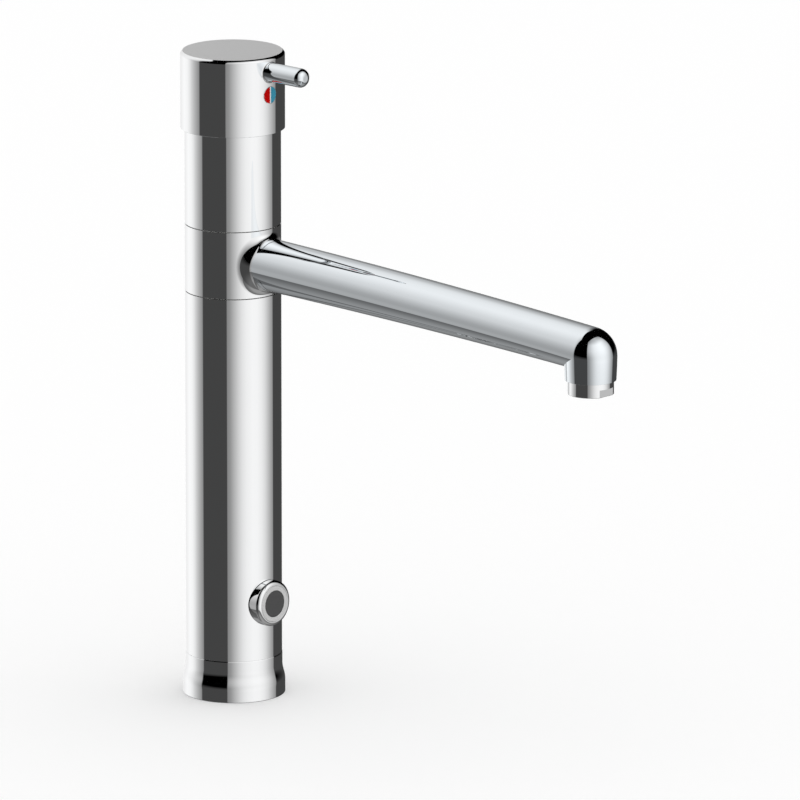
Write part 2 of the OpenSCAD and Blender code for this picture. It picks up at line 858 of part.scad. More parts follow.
module cartridge_base() {
  color(plastic) difference() {
    translate([0, 0, seat_top]) cylinder(r = cartridge_r - 2 * fit, h = cartridge_base_h);
    cartridge_ports() translate([0, 0, seat_top - cut])
      cylinder(r = channel_r, h = cartridge_base_h + 2 * cut);
  }
}

module cartridge_port_seals() {
  color(rubber) cartridge_ports() translate([0, 0, seat_top - port_seal_d / 2])
    torus(port_seal_r, port_seal_d - 2 * run);
}

module fixed_disc() {
  color(ceramic) difference() {
    translate([0, 0, disc_z]) cylinder(r = disc_r, h = disc_t);
    cartridge_ports() translate([0, 0, disc_z - cut]) cylinder(r = gallery_r, h = disc_t + 2 * cut);
  }
}

// Its pocket joins the mixed channel to more of the hot or the cold one as it turns
module moving_disc() {
  color(ceramic) difference() {
    translate([0, 0, moving_z]) cylinder(r = moving_r, h = disc_t);
    translate([0, moving_r - pocket_r - pocket_rim, moving_z - cut])
      cylinder(r = pocket_r, h = pocket_depth + cut);
  }
}

module cartridge_body() {
  roof_z = stem_z + stem_flange_h + run;
  color(plastic) difference() {
    union() {
      translate([0, 0, disc_z]) cylinder(r = cartridge_r, h = nut_low - disc_z);
      translate([0, 0, nut_low]) cylinder(r = neck_r, h = neck_h);
    }
    translate([0, 0, disc_z - cut]) cylinder(r = disc_r + fit, h = roof_z - disc_z + cut);
    translate([0, 0, disc_z]) cylinder(r = stem_r + run, h = nut_top);
  }
}

module cartridge_stem() {
  color(steel) difference() {
    union() {
      translate([0, 0, stem_z]) cylinder(r = stem_flange_r, h = stem_flange_h);
      translate([0, 0, stem_z]) cylinder(r = stem_r, h = square_low - stem_z);
      translate([-stem_square / 2, -stem_square / 2, square_low])
        cube([stem_square, stem_square, stem_top - square_low]);
    }
    translate([0, 0, stem_seal_z - stem_seal_d / 2 - fit])
      ring(stem_r + cut, stem_r - stem_seal_d - run, stem_seal_d + 2 * fit);
  }
}

module stem_o_ring() {
  color(rubber) translate([0, 0, stem_seal_z]) torus(stem_r - stem_seal_d / 2, stem_seal_d);
}

module cartridge_nut() {
  color(brass) difference() {
    translate([0, 0, nut_low]) cylinder(r = inner_r - fit, h = nut_h);
    translate([0, 0, nut_low - cut]) cylinder(r = neck_r + fit, h = nut_h + 2 * cut);
    for (angle = [45:90:315]) polar(angle, nut_hole_place) translate([0, 0, nut_low + nut_h / 2])
      cylinder(r = nut_hole_r, h = nut_h);
  }
}

module handle_cap() {
  outline = concat([[0, z_cap], [cap_r - cap_chamfer, z_cap], [cap_r, z_cap + cap_chamfer]],
    arc(cap_r - cap_edge, z_top - cap_edge, cap_edge, 0, 90), [[0, z_top]]);
  color(chrome) difference() {
    union() {
      difference() {
        rotate_extrude() polygon(outline);
        translate([0, 0, z_cap - cut]) cylinder(r = cap_bore_r, h = cap_bore_top - z_cap + cut);
        translate([0, 0, z_cap]) cylinder(r = cap_r - cap_wall, h = cap_under - z_cap);
      }
      translate([0, 0, hub_low]) cylinder(r = hub_r, h = cap_under - hub_low + cut);
      front(lever_z) translate([0, 0, hub_r - cut]) cylinder(r = lever_boss_r, h = lever_seat - hub_r + cut);
    }
    translate([-stem_square / 2 - run, -stem_square / 2 - run, hub_low - cut])
      cube([stem_square + 2 * run, stem_square + 2 * run, stem_top + fit - hub_low + cut]);
    front(lever_z) {
      translate([0, 0, lever_shank_in - fit]) cylinder(r = lever_shank_r + run, h = cap_r);
      translate([0, 0, lever_seat]) cylinder(r = lever_r + run, h = cap_r);
    }
    front(mark_z) {
      cylinder(r = grub_r + run, h = hub_r + cut);
      translate([0, 0, hub_r + cut / 2]) cylinder(r = mark_r + run, h = cap_r);
    }
  }
}

module lever_pin() {
  outline = concat([[0, lever_shank_in], [lever_shank_r, lever_shank_in], [lever_shank_r, lever_seat],
    [lever_r, lever_seat]],
    arc(lever_r - lever_edge, lever_reach - lever_edge, lever_edge, 0, 90), [[0, lever_reach]]);
  color(chrome) front(lever_z) rotate_extrude() polygon(outline);
}

// A slice of a tube between two radii round the tap's axis, where its children reach
module skin(low_r, high_r) {
  intersection() {
    translate([0, 0, z_cap]) ring(high_r, low_r, cap_h);
    children();
  }
}

module indicator_plug() {
  color("white") difference() {
    skin(mark_back, cap_r + mark_proud) front(mark_z) cylinder(r = mark_r, h = 2 * cap_r);
    for (side = [0, 1]) mark_half(side, run);
  }
}

// One half of the round mark, left for side 0 and right for side 1
module mark_half(side, grow) {
  inset_r = mark_r - mark_rim;
  skin(cap_r + mark_proud - mark_skin - grow, cap_r + mark_proud + grow) intersection() {
    front(mark_z) cylinder(r = inset_r + grow, h = 2 * cap_r);
    mirror([1 - side, 0, 0]) translate([mark_line / 2 - grow, -2 * cap_r, mark_z - mark_r])
      cube([mark_r, 2 * cap_r, mark_d]);
  }
}

module indicator_red() {
  color(mark_red) mark_half(0, 0);
}

module indicator_blue() {
  color(mark_blue) mark_half(1, 0);
}

module grub_screw() {
  tip = stem_square / 2 + run;
  color(steel) front(mark_z) difference() {
    translate([0, 0, tip]) cylinder(r = grub_r, h = grub_l);
    translate([0, 0, tip + grub_l - grub_socket_depth])
      cylinder(r = grub_socket_r, h = grub_socket_depth + cut, $fn = 6);
  }
}

module swivel_collar() {
  color(chrome) difference() {
    union() {
      translate([0, 0, collar_low]) cylinder(r = body_r, h = collar_high - collar_low);
      down_spout() translate([0, 0, flare_start])
        cylinder(r1 = flare_start_r, r2 = flare_end_r, h = root_straight - flare_start);
    }
    translate([0, 0, collar_low - cut]) cylinder(r = bore_r, h = collar_h + 2 * cut);
    down_spout() {
      cylinder(r = waterway_r, h = body_r);
      translate([0, 0, root_start - run]) cylinder(r = root_r + run, h = body_r);
    }
  }
}

module spout_tube() {
  straight = root_straight - root_start;
  taper = tube_end - root_straight;
  color(chrome) down_spout() difference() {
    union() {
      translate([0, 0, root_start]) cylinder(r = root_r, h = straight);
      translate([0, 0, root_straight]) cylinder(r1 = root_r, r2 = tip_r, h = taper);
    }
    translate([0, 0, root_start - cut]) cylinder(r = root_r - spout_wall, h = straight + cut);
    translate([0, 0, root_straight]) cylinder(r1 = root_r - spout_wall, r2 = tip_r - spout_wall, h = taper);
    translate([0, 0, tube_end - spigot_l - fit]) cylinder(r = tip_r - spout_wall, h = spigot_l + cut);
  }
}

module spout_elbow() {
  spigot_r = tip_r - spout_wall - run;
  elbow_bore = spigot_r - spigot_wall;
  color(chrome) difference() {
    union() {
      down_spout() {
        translate([0, 0, tube_end - spigot_l]) cylinder(r = spigot_r, h = spigot_l);
        translate([0, 0, tube_end]) cylinder(r = tip_r, h = axis_end - tube_end);
      }
      outlet(dome_z) sphere(r = dome_r);
      outlet(nozzle_low) cylinder(r1 = nozzle_r, r2 = dome_r, h = nozzle_h);
    }
    down_spout() translate([0, 0, tube_end - spigot_l - cut])
      cylinder(r = elbow_bore, h = axis_end - tube_end + spigot_l + cut);
    outlet(nozzle_low) cylinder(r = nozzle_bore_r, h = nozzle_h);
    outlet(nozzle_low - cut) cylinder(r = thread_r + run, h = thread_h + seal_t + cut);
  }
}

module aerator_housing() {
  color(chrome) difference() {
    union() {
      outlet(outlet_low) cylinder(r = aerator_r, h = aerator_h);
      outlet(outlet_low) cylinder(r = thread_r, h = aerator_h + thread_h);
    }
    outlet(outlet_low - cut) cylinder(r = lip_r, h = lip_h + 2 * cut);
    outlet(outlet_low + lip_h) cylinder(r = insert_r + run, h = aerator_h + thread_h);
    for (side = [0, 180]) outlet(outlet_low) rotate([0, 0, side])
      translate([-aerator_r, aerator_flats / 2, -cut]) cube([aerator_d, aerator_r, flat_h + cut]);
  }
}

// The flow straightener, with a lattice of square channels right through it
module aerator_insert() {
  color(plastic) difference() {
    outlet(outlet_low + lip_h) cylinder(r = insert_r, h = insert_h);
    for (i = [-insert_rows:insert_rows], j = [-insert_rows:insert_rows])
      outlet(outlet_low) translate([i * insert_pitch, j * insert_pitch, insert_h])
        cube([insert_slot, insert_slot, 3 * insert_h], center = true);
  }
}

module aerator_seal() {
  color(rubber) outlet(nozzle_low + thread_h) ring(thread_r, nozzle_bore_r, seal_t);
}

base_foot();
deck_gasket();
base_block();
lower_sleeve();
upper_sleeve();
swivel_core();
cartridge_seat();
seat_screws();
lower_bearing_ring();
upper_bearing_ring();
swivel_o_rings();
hot_riser();
cold_riser();
valve_body();
valve_diaphragm();
valve_screws();
armature_tube();
solenoid_coil();
solenoid_yoke();
solenoid_spring();
inner_chassis();
battery_holder();
battery_cells();
battery_contacts();
control_module();
sensor_housing();
sensor_bezel();
sensor_lens();
sensor_gasket();
sensor_washer();
sensor_nut();
sensor_board();
ir_emitter();
ir_receiver();
sensor_rear_cap();
sensor_lead();
solenoid_lead();
cartridge_base();
cartridge_body();
fixed_disc();
cartridge_port_seals();
cartridge_nut();
handle_cap();
lever_pin();
indicator_plug();
indicator_red();
indicator_blue();
grub_screw();
cartridge_stem();
stem_o_ring();
moving_disc();
swivel_collar();
spout_tube();
spout_elbow();
aerator_housing();
aerator_insert();
aerator_seal();
solenoid_plunger();
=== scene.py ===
import json
import math
import bpy
import numpy as np
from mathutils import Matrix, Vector


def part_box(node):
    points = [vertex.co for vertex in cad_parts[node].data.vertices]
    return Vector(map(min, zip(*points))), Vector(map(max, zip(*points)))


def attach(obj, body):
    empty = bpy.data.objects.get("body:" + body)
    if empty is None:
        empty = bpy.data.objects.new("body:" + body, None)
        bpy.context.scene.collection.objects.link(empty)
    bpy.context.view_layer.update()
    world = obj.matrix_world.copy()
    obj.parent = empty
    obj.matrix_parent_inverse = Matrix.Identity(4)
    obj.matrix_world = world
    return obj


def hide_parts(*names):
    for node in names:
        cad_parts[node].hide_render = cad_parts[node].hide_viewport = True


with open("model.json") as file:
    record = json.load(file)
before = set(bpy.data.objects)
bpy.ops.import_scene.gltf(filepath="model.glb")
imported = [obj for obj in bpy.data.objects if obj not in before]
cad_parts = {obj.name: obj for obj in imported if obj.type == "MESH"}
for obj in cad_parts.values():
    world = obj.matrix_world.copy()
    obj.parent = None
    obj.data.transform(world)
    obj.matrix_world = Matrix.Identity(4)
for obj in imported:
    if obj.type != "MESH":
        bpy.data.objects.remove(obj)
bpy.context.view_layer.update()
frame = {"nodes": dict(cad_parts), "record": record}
print("stage: frame loaded")

# All shapes are worked out in millimetres in the tap's own frame: +Z up, front along -Y.
# A contour is a row of points round a wall, and a patch is a grid of points with its normals.
boxSteps = 20     # corners of CAD nodes are taken to a twentieth of a millimetre


def boxOf(node):
    # lowest and highest corner of a CAD node
    return [np.round(np.array(corner) * 1000 * boxSteps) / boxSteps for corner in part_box(node)]


# Camera: the place from which the photograph was taken, found from the tap's own ellipses
cameraPlace = {"azimuth": -46.5, "down": 13.778, "lens": 617.1, "sensor": 36, "seesFrom": 0.1, "seesTo": 100,
               "aside": 0.08127, "back": 6.499, "up": 1.7402}


def makeCamera(place):
    azimuth, down = math.radians(place["azimuth"]), math.radians(place["down"])
    right = Vector((math.cos(azimuth), math.sin(azimuth), 0))
    ahead = Vector((-math.sin(azimuth), math.cos(azimuth), 0))
    look = ahead * math.cos(down) - Vector((0, 0, math.sin(down)))
    camera = bpy.data.objects.new("camera", bpy.data.cameras.new("camera"))
    camera.data.lens = place["lens"]
    camera.data.sensor_width = place["sensor"]
    camera.data.clip_start, camera.data.clip_end = place["seesFrom"], place["seesTo"]
    camera.location = right * place["aside"] - ahead * place["back"] + Vector((0, 0, place["up"]))
    camera.rotation_euler = look.to_track_quat("-Z", "Y").to_euler()
    bpy.context.scene.collection.objects.link(camera)
    bpy.context.scene.camera = camera
    return right, -ahead


rightWay, frontWay = makeCamera(cameraPlace)
bpy.context.scene.view_settings.view_transform = "Standard"


# Node helpers
def addNode(tree, kind, settings=None, **inputs):
    # an input goes by its socket's name, or by i0, i1 and so on for its place
    node = tree.nodes.new(kind)
    for name, value in (settings or {}).items():
        setattr(node, name, value)
    for name, value in inputs.items():
        socket = node.inputs[int(name[1:])] if name[0] == "i" and name[1:].isdigit() else node.inputs[name]
        if isinstance(value, bpy.types.NodeSocket):
            tree.links.new(value, socket)
        else:
            socket.default_value = value
    return node


def mathNode(tree, operation, *values):
    inputs = {"i%d" % place: value for place, value in enumerate(values)}
    return addNode(tree, "ShaderNodeMath", {"operation": operation}, **inputs).outputs[0]


def rangeNode(tree, value, low, high, first=0.0, last=1.0, kind="LINEAR"):
    return addNode(tree, "ShaderNodeMapRange", {"interpolation_type": kind},
                   i0=value, i1=low, i2=high, i3=first, i4=last).outputs[0]


# Studio: a white room with two soft light walls and dark cloth between them.
# Angles are in degrees round the tap from the camera's side, positive to the right; heights are sines.
studio = {
    "leftWall": (-128.8, 2.65),        # middle of a light wall, and its height over its distance
    "rightWall": (47.2, 4.0),
    "topBlur": 0.06,                   # half the height of a wall's soft upper edge
    "low": [(-180, 0.96), (-157, 0.89), (-132, 1.03), (-117, 0.975), (-107, 0.83), (-102, 0.70), (-92, 0.50),
            (-82, 0.33), (-78.2, 0.28), (-76.8, 0.058), (-15.4, 0.058), (-14.0, 0.25), (-7, 0.315), (2, 0.48),
            (7, 0.565), (12, 0.66), (22, 0.82), (32, 0.92), (47, 0.985), (60, 0.975), (72, 0.89), (82, 0.755),
            (92, 0.565), (102, 0.39), (109, 0.29), (110.4, 0.058), (165, 0.058), (180, 0.25)],
    "high": [(-180, 0.45), (-175, 0.60), (-171, 0.72), (-167, 0.80), (-162, 0.846), (-150, 0.90),
             (-125, 0.93), (-114, 0.905), (-105, 0.854), (-98, 0.796), (-94, 0.75), (-86, 0.66),
             (-78.2, 0.55), (-76.8, 0.0), (-15.4, 0.0), (-14.0, 0.42), (-9, 0.50), (0, 0.62), (10, 0.78),
             (20, 0.90), (30, 0.97), (45, 1.05), (60, 1.08), (70, 1.04), (80, 0.94), (92, 0.78),
             (102, 0.60), (109, 0.45), (110.4, 0.0), (168, 0.0), (177, 0.30), (180, 0.45)],
    "dark": 0.058,                     # the cloth
    "darkHorizon": (-0.16, 0.025),     # where the cloth turns black
    "wallHorizon": (-0.12, 0.45),      # where the low row of brightnesses turns into the high one
    "overhead": (0.72, 0.97, 1.0, 0.45),    # the right wall fades between two heights, from and to
    "lowFade": (-0.25, -0.42, 1.0, 0.8),    # and both walls below the horizon
    "tableEdge": (-0.392, -0.42),
    "table": {"from": -0.41, "to": -0.74, "level": 0.13, "more": 0.19, "power": 1.5, "lit": 0.33,
              "shade": 0.45},
}


def makeWorld(studio):
    world = bpy.data.worlds.new("studio")
    bpy.context.scene.world = world
    world.use_nodes = True
    tree = world.node_tree
    tree.nodes.clear()
    ray = addNode(tree, "ShaderNodeTexCoord").outputs["Generated"]

    def along(way):
        dot = addNode(tree, "ShaderNodeVectorMath", {"operation": "DOT_PRODUCT"}, i0=ray, i1=way)
        return dot.outputs["Value"]

    def product(*values):
        return mathNode(tree, "MULTIPLY", *values)

    def mixed(share, first, last):
        return addNode(tree, "ShaderNodeMix", {"data_type": "FLOAT"}, i0=share, i2=first, i3=last).outputs[0]

    toRight, toFront, up = along(rightWay), along(frontWay), along((0, 0, 1))
    turn = rangeNode(tree, mathNode(tree, "ARCTAN2", toRight, toFront), -math.pi, math.pi)

    def levels(name, less=0.0):
        # a row of brightnesses round the room
        ramp = addNode(tree, "ShaderNodeValToRGB", None, i0=turn)
        stops = ramp.color_ramp.elements
        while len(stops) < len(studio[name]):
            stops.new(0.5)
        for stop, (angle, level) in zip(stops, studio[name]):
            stop.position = (angle + 180) / 360
            stop.color = (level - less, level - less, level - less, 1)
        return ramp.outputs[0]

    # each light wall ends overhead, along a straight edge
    tops = []
    for middle, height in (studio["leftWall"], studio["rightWall"]):
        middle = math.radians(middle)
        facing = rightWay * math.sin(middle) + frontWay * math.cos(middle)
        over = mathNode(tree, "SUBTRACT", product(along(facing), height), up)
        tops.append(rangeNode(tree, over, -studio["topBlur"], studio["topBlur"], kind="SMOOTHSTEP"))
    tops[1] = product(tops[1], rangeNode(tree, up, *studio["overhead"], kind="SMOOTHSTEP"))
    above = product(levels("high"), mathNode(tree, "MAXIMUM", *tops))
    lowWalls = levels("low", studio["dark"])
    below = product(lowWalls, rangeNode(tree, up, *studio["lowFade"]))
    walls = mixed(rangeNode(tree, up, *studio["wallHorizon"]), below, above)
    # the cloth between the walls is faintly lit under the horizon and black over it
    cloth = rangeNode(tree, up, *studio["darkHorizon"], studio["dark"], 0.0)
    # under all this a table is seen, in shade where no wall stands over it
    table = studio["table"]
    nearer = mathNode(tree, "POWER", rangeNode(tree, up, table["from"], table["to"]), table["power"])
    tableLight = mathNode(tree, "MULTIPLY_ADD", nearer, table["more"], table["level"])
    tableShade = rangeNode(tree, lowWalls, 0.0, table["lit"], table["shade"], 1.0)
    level = mixed(rangeNode(tree, up, *studio["tableEdge"], kind="SMOOTHSTEP"),
                  mathNode(tree, "ADD", walls, cloth), product(tableLight, tableShade))
    seen = addNode(tree, "ShaderNodeBackground", None, Color=(1, 1, 1, 1), Strength=level)
    plain = addNode(tree, "ShaderNodeBackground", None, Color=(1, 1, 1, 1), Strength=1.0)
    glossy = addNode(tree, "ShaderNodeLightPath").outputs["Is Glossy Ray"]
    shown = addNode(tree, "ShaderNodeMixShader", None, i0=glossy, i1=plain.outputs[0], i2=seen.outputs[0])
    addNode(tree, "ShaderNodeOutputWorld", None, Surface=shown.outputs[0])


makeWorld(studio)

# Materials: shared effects are groups that put out values only
grainShape = {"coarseDetail": 3.0, "fineTimes": 9.0, "fineDetail": 2.0, "spread": (0.3, 0.7),
              "patchScale": 60.0, "patchDetail": 2.0, "reliefDepth": 0.0002, "otherShade": 0.94}


def makeGrainGroup(shape):
    # the mean of a coarse and a fine noise, drawn out along Z and spread between two values
    group = bpy.data.node_groups.new("surfaceGrain", "ShaderNodeTree")
    for name, value in (("Scale", 200.0), ("Stretch", 1.0), ("Lowest", 0.1), ("Highest", 0.2)):
        group.interface.new_socket(name, in_out="INPUT", socket_type="NodeSocketFloat").default_value = value
    for name in ("Value", "Height"):
        group.interface.new_socket(name, in_out="OUTPUT", socket_type="NodeSocketFloat")
    given = addNode(group, "NodeGroupInput").outputs
    place = addNode(group, "ShaderNodeTexCoord").outputs["Object"]
    stretch = addNode(group, "ShaderNodeCombineXYZ", None, X=1.0, Y=1.0, Z=given["Stretch"]).outputs[0]
    drawn = addNode(group, "ShaderNodeVectorMath", {"operation": "MULTIPLY"}, i0=place, i1=stretch).outputs[0]
    fineScale = mathNode(group, "MULTIPLY", given["Scale"], shape["fineTimes"])
    noises = []
    for scale, detail in ((given["Scale"], shape["coarseDetail"]), (fineScale, shape["fineDetail"])):
        noise = addNode(group, "ShaderNodeTexNoise", None, Vector=drawn, Scale=scale, Detail=detail)
        noises.append(noise.outputs[0])
    coarse, fine = noises
    both = mathNode(group, "MULTIPLY", mathNode(group, "ADD", coarse, fine), 0.5)
    value = rangeNode(group, both, *shape["spread"], given["Lowest"], given["Highest"])
    addNode(group, "NodeGroupOutput", None, Value=value, Height=fine)
    return group


grainGroup = makeGrainGroup(grainShape)


def makeFinish(name, colour, second=None, metallic=0.0, rough=(0.3, 0.4), scale=300.0, stretch=1.0, bump=0.0,
               coat=0.0, clear=0.0, specular=0.5):
    # colour wanders a little towards the second one unless both are the same,
    # roughness and relief follow the grain
    material = bpy.data.materials.new(name)
    material.use_nodes = True
    tree = material.node_tree
    shader = tree.nodes["Principled BSDF"]
    grain = addNode(tree, "ShaderNodeGroup", {"node_tree": grainGroup}, Scale=scale, Stretch=stretch,
                    Lowest=rough[0], Highest=rough[1])
    tree.links.new(grain.outputs["Value"], shader.inputs["Roughness"])
    second = second or tuple(part * grainShape["otherShade"] for part in colour)
    if second == colour:
        shader.inputs["Base Color"].default_value = (*colour, 1)
    else:
        place = addNode(tree, "ShaderNodeTexCoord").outputs["Object"]
        patches = addNode(tree, "ShaderNodeTexNoise", None, Vector=place, Scale=grainShape["patchScale"],
                          Detail=grainShape["patchDetail"]).outputs[0]
        blend = addNode(tree, "ShaderNodeMix", {"data_type": "RGBA"}, i0=patches, i6=(*colour, 1),
                        i7=(*second, 1))
        tree.links.new(blend.outputs[2], shader.inputs["Base Color"])
    for socket, value in (("Metallic", metallic), ("Coat Weight", coat), ("Specular IOR Level", specular),
                          ("Transmission Weight", clear)):
        shader.inputs[socket].default_value = value
    if bump:
        relief = addNode(tree, "ShaderNodeBump", None, Strength=bump, Distance=grainShape["reliefDepth"],
                         Height=grain.outputs["Height"])
        tree.links.new(relief.outputs[0], shader.inputs["Normal"])
    return material


# rows of name, colour, second colour, metallic, roughness and grain size, then stretch and bump where
# they count
mirror, satin, enamel = (0.012, 0.03), (0.32, 0.40), (0.12, 0.2)
finishes = {
    "chrome": makeFinish("polishedChrome", (0.93, 0.935, 0.94), (0.915, 0.92, 0.925), 1.0, mirror, 45.0),
    # the same polished chrome with a bluish tint painted in: a painted cool reflection for the spout and
    # lever
    "cool_chrome": makeFinish("chromeWithPaintedCoolReflection", (0.885, 0.925, 0.955), (0.87, 0.91, 0.94), 1.0, mirror, 45.0),
    "satin_chrome": makeFinish("satinChrome", (0.71,) * 3, (0.69,) * 3, 0.7, satin, 500.0, bump=0.06),
    # the same satin chrome painted lighter: painted light for the sensor ring
    "light_satin": makeFinish("satinWithPaintedLight", (0.83,) * 3, (0.81,) * 3, 0.7, satin, 500.0, bump=0.06),
    "brass": makeFinish("machinedBrass", (0.78, 0.60, 0.30), (0.70, 0.52, 0.25), 1.0, (0.22, 0.34), 250.0,
                        8.0, 0.1),
    "steel": makeFinish("turnedSteel", (0.62, 0.63, 0.65), None, 1.0, (0.24, 0.36), 300.0, 10.0, 0.1),
    "copper": makeFinish("drawnCopper", (0.76, 0.42, 0.27), (0.66, 0.33, 0.2), 1.0, (0.2, 0.32), 250.0,
                         0.2, 0.08),
    "rubber": makeFinish("blackRubber", (0.030, 0.030, 0.032), None, 0.0, (0.55, 0.7), 500.0, bump=0.3),
    "white_plastic": makeFinish("whitePlastic", (0.80, 0.80, 0.77), None, 0.0, (0.38, 0.46), 700.0,
                                bump=0.12),
    "black_plastic": makeFinish("blackPlastic", (0.045, 0.045, 0.05), None, 0.0, (0.4, 0.5), 700.0,
                                bump=0.15),
    "battery_skin": makeFinish("cellSleeve", (0.40, 0.41, 0.43), (0.33, 0.34, 0.36), 0.0, (0.22, 0.3), 300.0,
                               coat=0.3),
    "board": makeFinish("varnishedBoard", (0.03, 0.16, 0.07), (0.02, 0.10, 0.05), 0.0, (0.25, 0.35), 350.0,
                        coat=0.4),
    "ceramic": makeFinish("lappedCeramic", (0.86, 0.86, 0.83), None, 0.0, (0.10, 0.16), 300.0),
    "dark_lens": makeFinish("darkLens", (0.052, 0.052, 0.053), (0.047, 0.047, 0.048), 0.0, (0.18, 0.24),
                            400.0),
    "diode": makeFinish("clearDiode", (0.75, 0.76, 0.85), None, 0.0, (0.03, 0.06), 200.0, clear=0.7),
    "mark_white": makeFinish("whiteEnamel", (0.80,) * 3, None, 0.0, enamel, 300.0),
    "mark_red": makeFinish("redEnamel", (0.48, 0.001, 0.001), (0.45, 0.0, 0.0), 0.0, enamel, 300.0,
                           specular=0.03),
    "mark_blue": makeFinish("blueEnamel", (0.040, 0.265, 0.385), (0.037, 0.25, 0.36), 0.0, enamel, 300.0,
                            specular=0.1),
}


def finishNodes(record):
    for part in record["subparts"]:
        data = frame["nodes"][part["node"]].data
        data.materials.clear()
        data.materials.append(finishes[part["material_slot"]])


finishNodes(frame["record"])
print("stage: materials made")

# Floor
floorShape = {"radius": 7.0, "sides": 96, "colour": (0.995, 0.995, 0.995), "rough": (0.7, 0.8), "grain": 3.0}


def makeFloor(shape):
    # a disc of triangles round its middle, (r cos a, r sin a, 0), that shows its underside to nobody
    sides = shape["sides"]
    angle = np.linspace(0, 2 * np.pi, sides + 1)[:-1]
    edge = np.stack([shape["radius"] * np.cos(angle), shape["radius"] * np.sin(angle), 0 * angle], -1)
    number = np.arange(1, sides + 1)
    faces = np.stack([np.zeros(sides, int), number, np.roll(number, -1)], -1)
    mesh = bpy.data.meshes.new("floor")
    mesh.from_pydata(np.vstack([[0, 0, 0], edge]).tolist(), [], faces.tolist())
    floor = bpy.data.objects.new("floor", mesh)
    bpy.context.scene.collection.objects.link(floor)
    material = makeFinish("paleFloor", shape["colour"], shape["colour"], 0.0, shape["rough"], shape["grain"],
                          specular=0.0)
    tree = material.node_tree
    under = addNode(tree, "ShaderNodeNewGeometry").outputs["Backfacing"]
    clear = addNode(tree, "ShaderNodeBsdfTransparent").outputs[0]
    shader = tree.nodes["Principled BSDF"].outputs[0]
    mixed = addNode(tree, "ShaderNodeMixShader", None, i0=under, i1=shader, i2=clear)
    tree.links.new(mixed.outputs[0], tree.nodes["Material Output"].inputs["Surface"])
    mesh.materials.append(material)
    floor.visible_glossy = False       # the light walls are seen in the metal down to the foot


makeFloor(floorShape)


# Profiles: rows of (radius, height) with their normals on the right of the way they run
tiny = 1e-6       # anything shorter counts as nothing


def straight(start, end):
    # a straight line from start to end
    start, end = np.array(start, float), np.array(end, float)
    step = (end - start) / np.linalg.norm(end - start)
    return np.stack([start, end]), np.tile([step[1], -step[0]], (2, 1))


def path(*points):
    # straight lines from each point to the next
    return [straight(start, end) for start, end in zip(points, points[1:])]


def bend(centre, radius, first, last, rows=9):
    # an arc, centre + radius * (cos a, sin a), with a in degrees from first to last
    angle = np.radians(np.linspace(first, last, rows))[:, None]
    out = np.hstack([np.cos(angle), np.sin(angle)])
    return np.array(centre) + radius * out, out * np.sign(last - first)


def freeCurve(points):
    # any smooth row of points; the normal is the tangent turned to the right
    tangent = np.gradient(points, axis=0, edge_order=2)
    tangent /= np.linalg.norm(tangent, axis=1)[:, None]
    return points, np.stack([tangent[:, 1], -tangent[:, 0]], -1)


def rounded(corners, closed=False):
    # lines between corners of (radius, height, edge radius), joined by arcs that touch both lines
    corners = np.array(corners, float)
    spots, edges = corners[:, :2], corners[:, 2]
    ends, pieces = [], []
    for i, spot in enumerate(spots):
        if not closed and i in (0, len(spots) - 1):
            ends.append((spot, spot, None))
            continue
        before, after = spot - spots[i - 1], spots[(i + 1) % len(spots)] - spot
        before, after = before / np.linalg.norm(before), after / np.linalg.norm(after)
        turn = math.atan2(before[0] * after[1] - before[1] * after[0], before @ after)
        back = edges[i] * math.tan(abs(turn) / 2)
        start, end = spot - before * back, spot + after * back
        arc = None
        if edges[i] > 0:
            centre = start + edges[i] * math.copysign(1, turn) * np.array([-before[1], before[0]])
            first = math.degrees(math.atan2(*(start - centre)[::-1]))
            arc = bend(centre, edges[i], first, first + math.degrees(turn))
        ends.append((start, end, arc))
    order = list(range(len(spots))) + ([0] if closed else [])
    for here, there in zip(order, order[1:]):
        if ends[here][2] is not None:
            pieces.append(ends[here][2])
        if np.linalg.norm(ends[there][0] - ends[here][1]) > tiny:
            pieces.append(straight(ends[here][1], ends[there][0]))
    return pieces


# Surfaces
fullTurn = np.linspace(-1.5 * np.pi, 0.5 * np.pi, 257)     # from the back, past the front, to the back
upright = np.eye(3)
forward = np.array([[1, 0, 0], [0, 0, -1], [0, 1, 0]])     # local Z out of the front


def turned(profile, angles, matrix=upright, origin=(0, 0, 0)):
    # a profile carried round an axis: (r cos a, r sin a, h), then turned and moved into place
    patches = []
    for points, normals in profile:
        ways = np.stack([np.cos(angles), np.sin(angles)], -1)[None]
        flat = np.zeros((len(points), len(angles), 1))
        grid = np.concatenate([points[:, None, :1] * ways, flat + points[:, None, 1:]], -1)
        normal = np.concatenate([normals[:, None, :1] * ways, flat + normals[:, None, 1:]], -1)
        patches.append((grid @ matrix.T + np.array(origin), normal @ matrix.T))
    return patches


def between(first, last, normal, rows=2):
    # straight lines from a row of points to another row, or to one point
    share = np.linspace(0, 1, rows)[:, None, None]
    grid = first[None] * (1 - share) + last[None] * share
    return grid, np.broadcast_to(normal, grid.shape)


def roundWall(first, last, rows, outward=1):
    # contours of (radius, angle, height) joined on the cylinder that both lie on
    share = np.linspace(0, 1, rows)[:, None, None]
    radius, angle, height = np.moveaxis(first[None] * (1 - share) + last[None] * share, -1, 0)
    normal = np.stack([np.cos(angle), np.sin(angle), 0 * angle], -1) * outward
    return np.stack([radius * np.cos(angle), radius * np.sin(angle), height], -1), normal


def ringContour(radius, angles, height):
    return np.stack([np.full_like(angles, radius), angles, np.full_like(angles, height)], -1)


def flatRing(outer, inner, up):
    # a flat face between two contours at one height
    grid, _ = roundWall(outer, inner, 2)
    return grid, np.broadcast_to((0, 0, up), grid.shape)


sideColumns, holeColumns = 72, 64
around = np.linspace(0, 2 * np.pi, 2 * holeColumns + 1)
fromLeft = np.pi - around                # from a hole's left end over the top, then back below


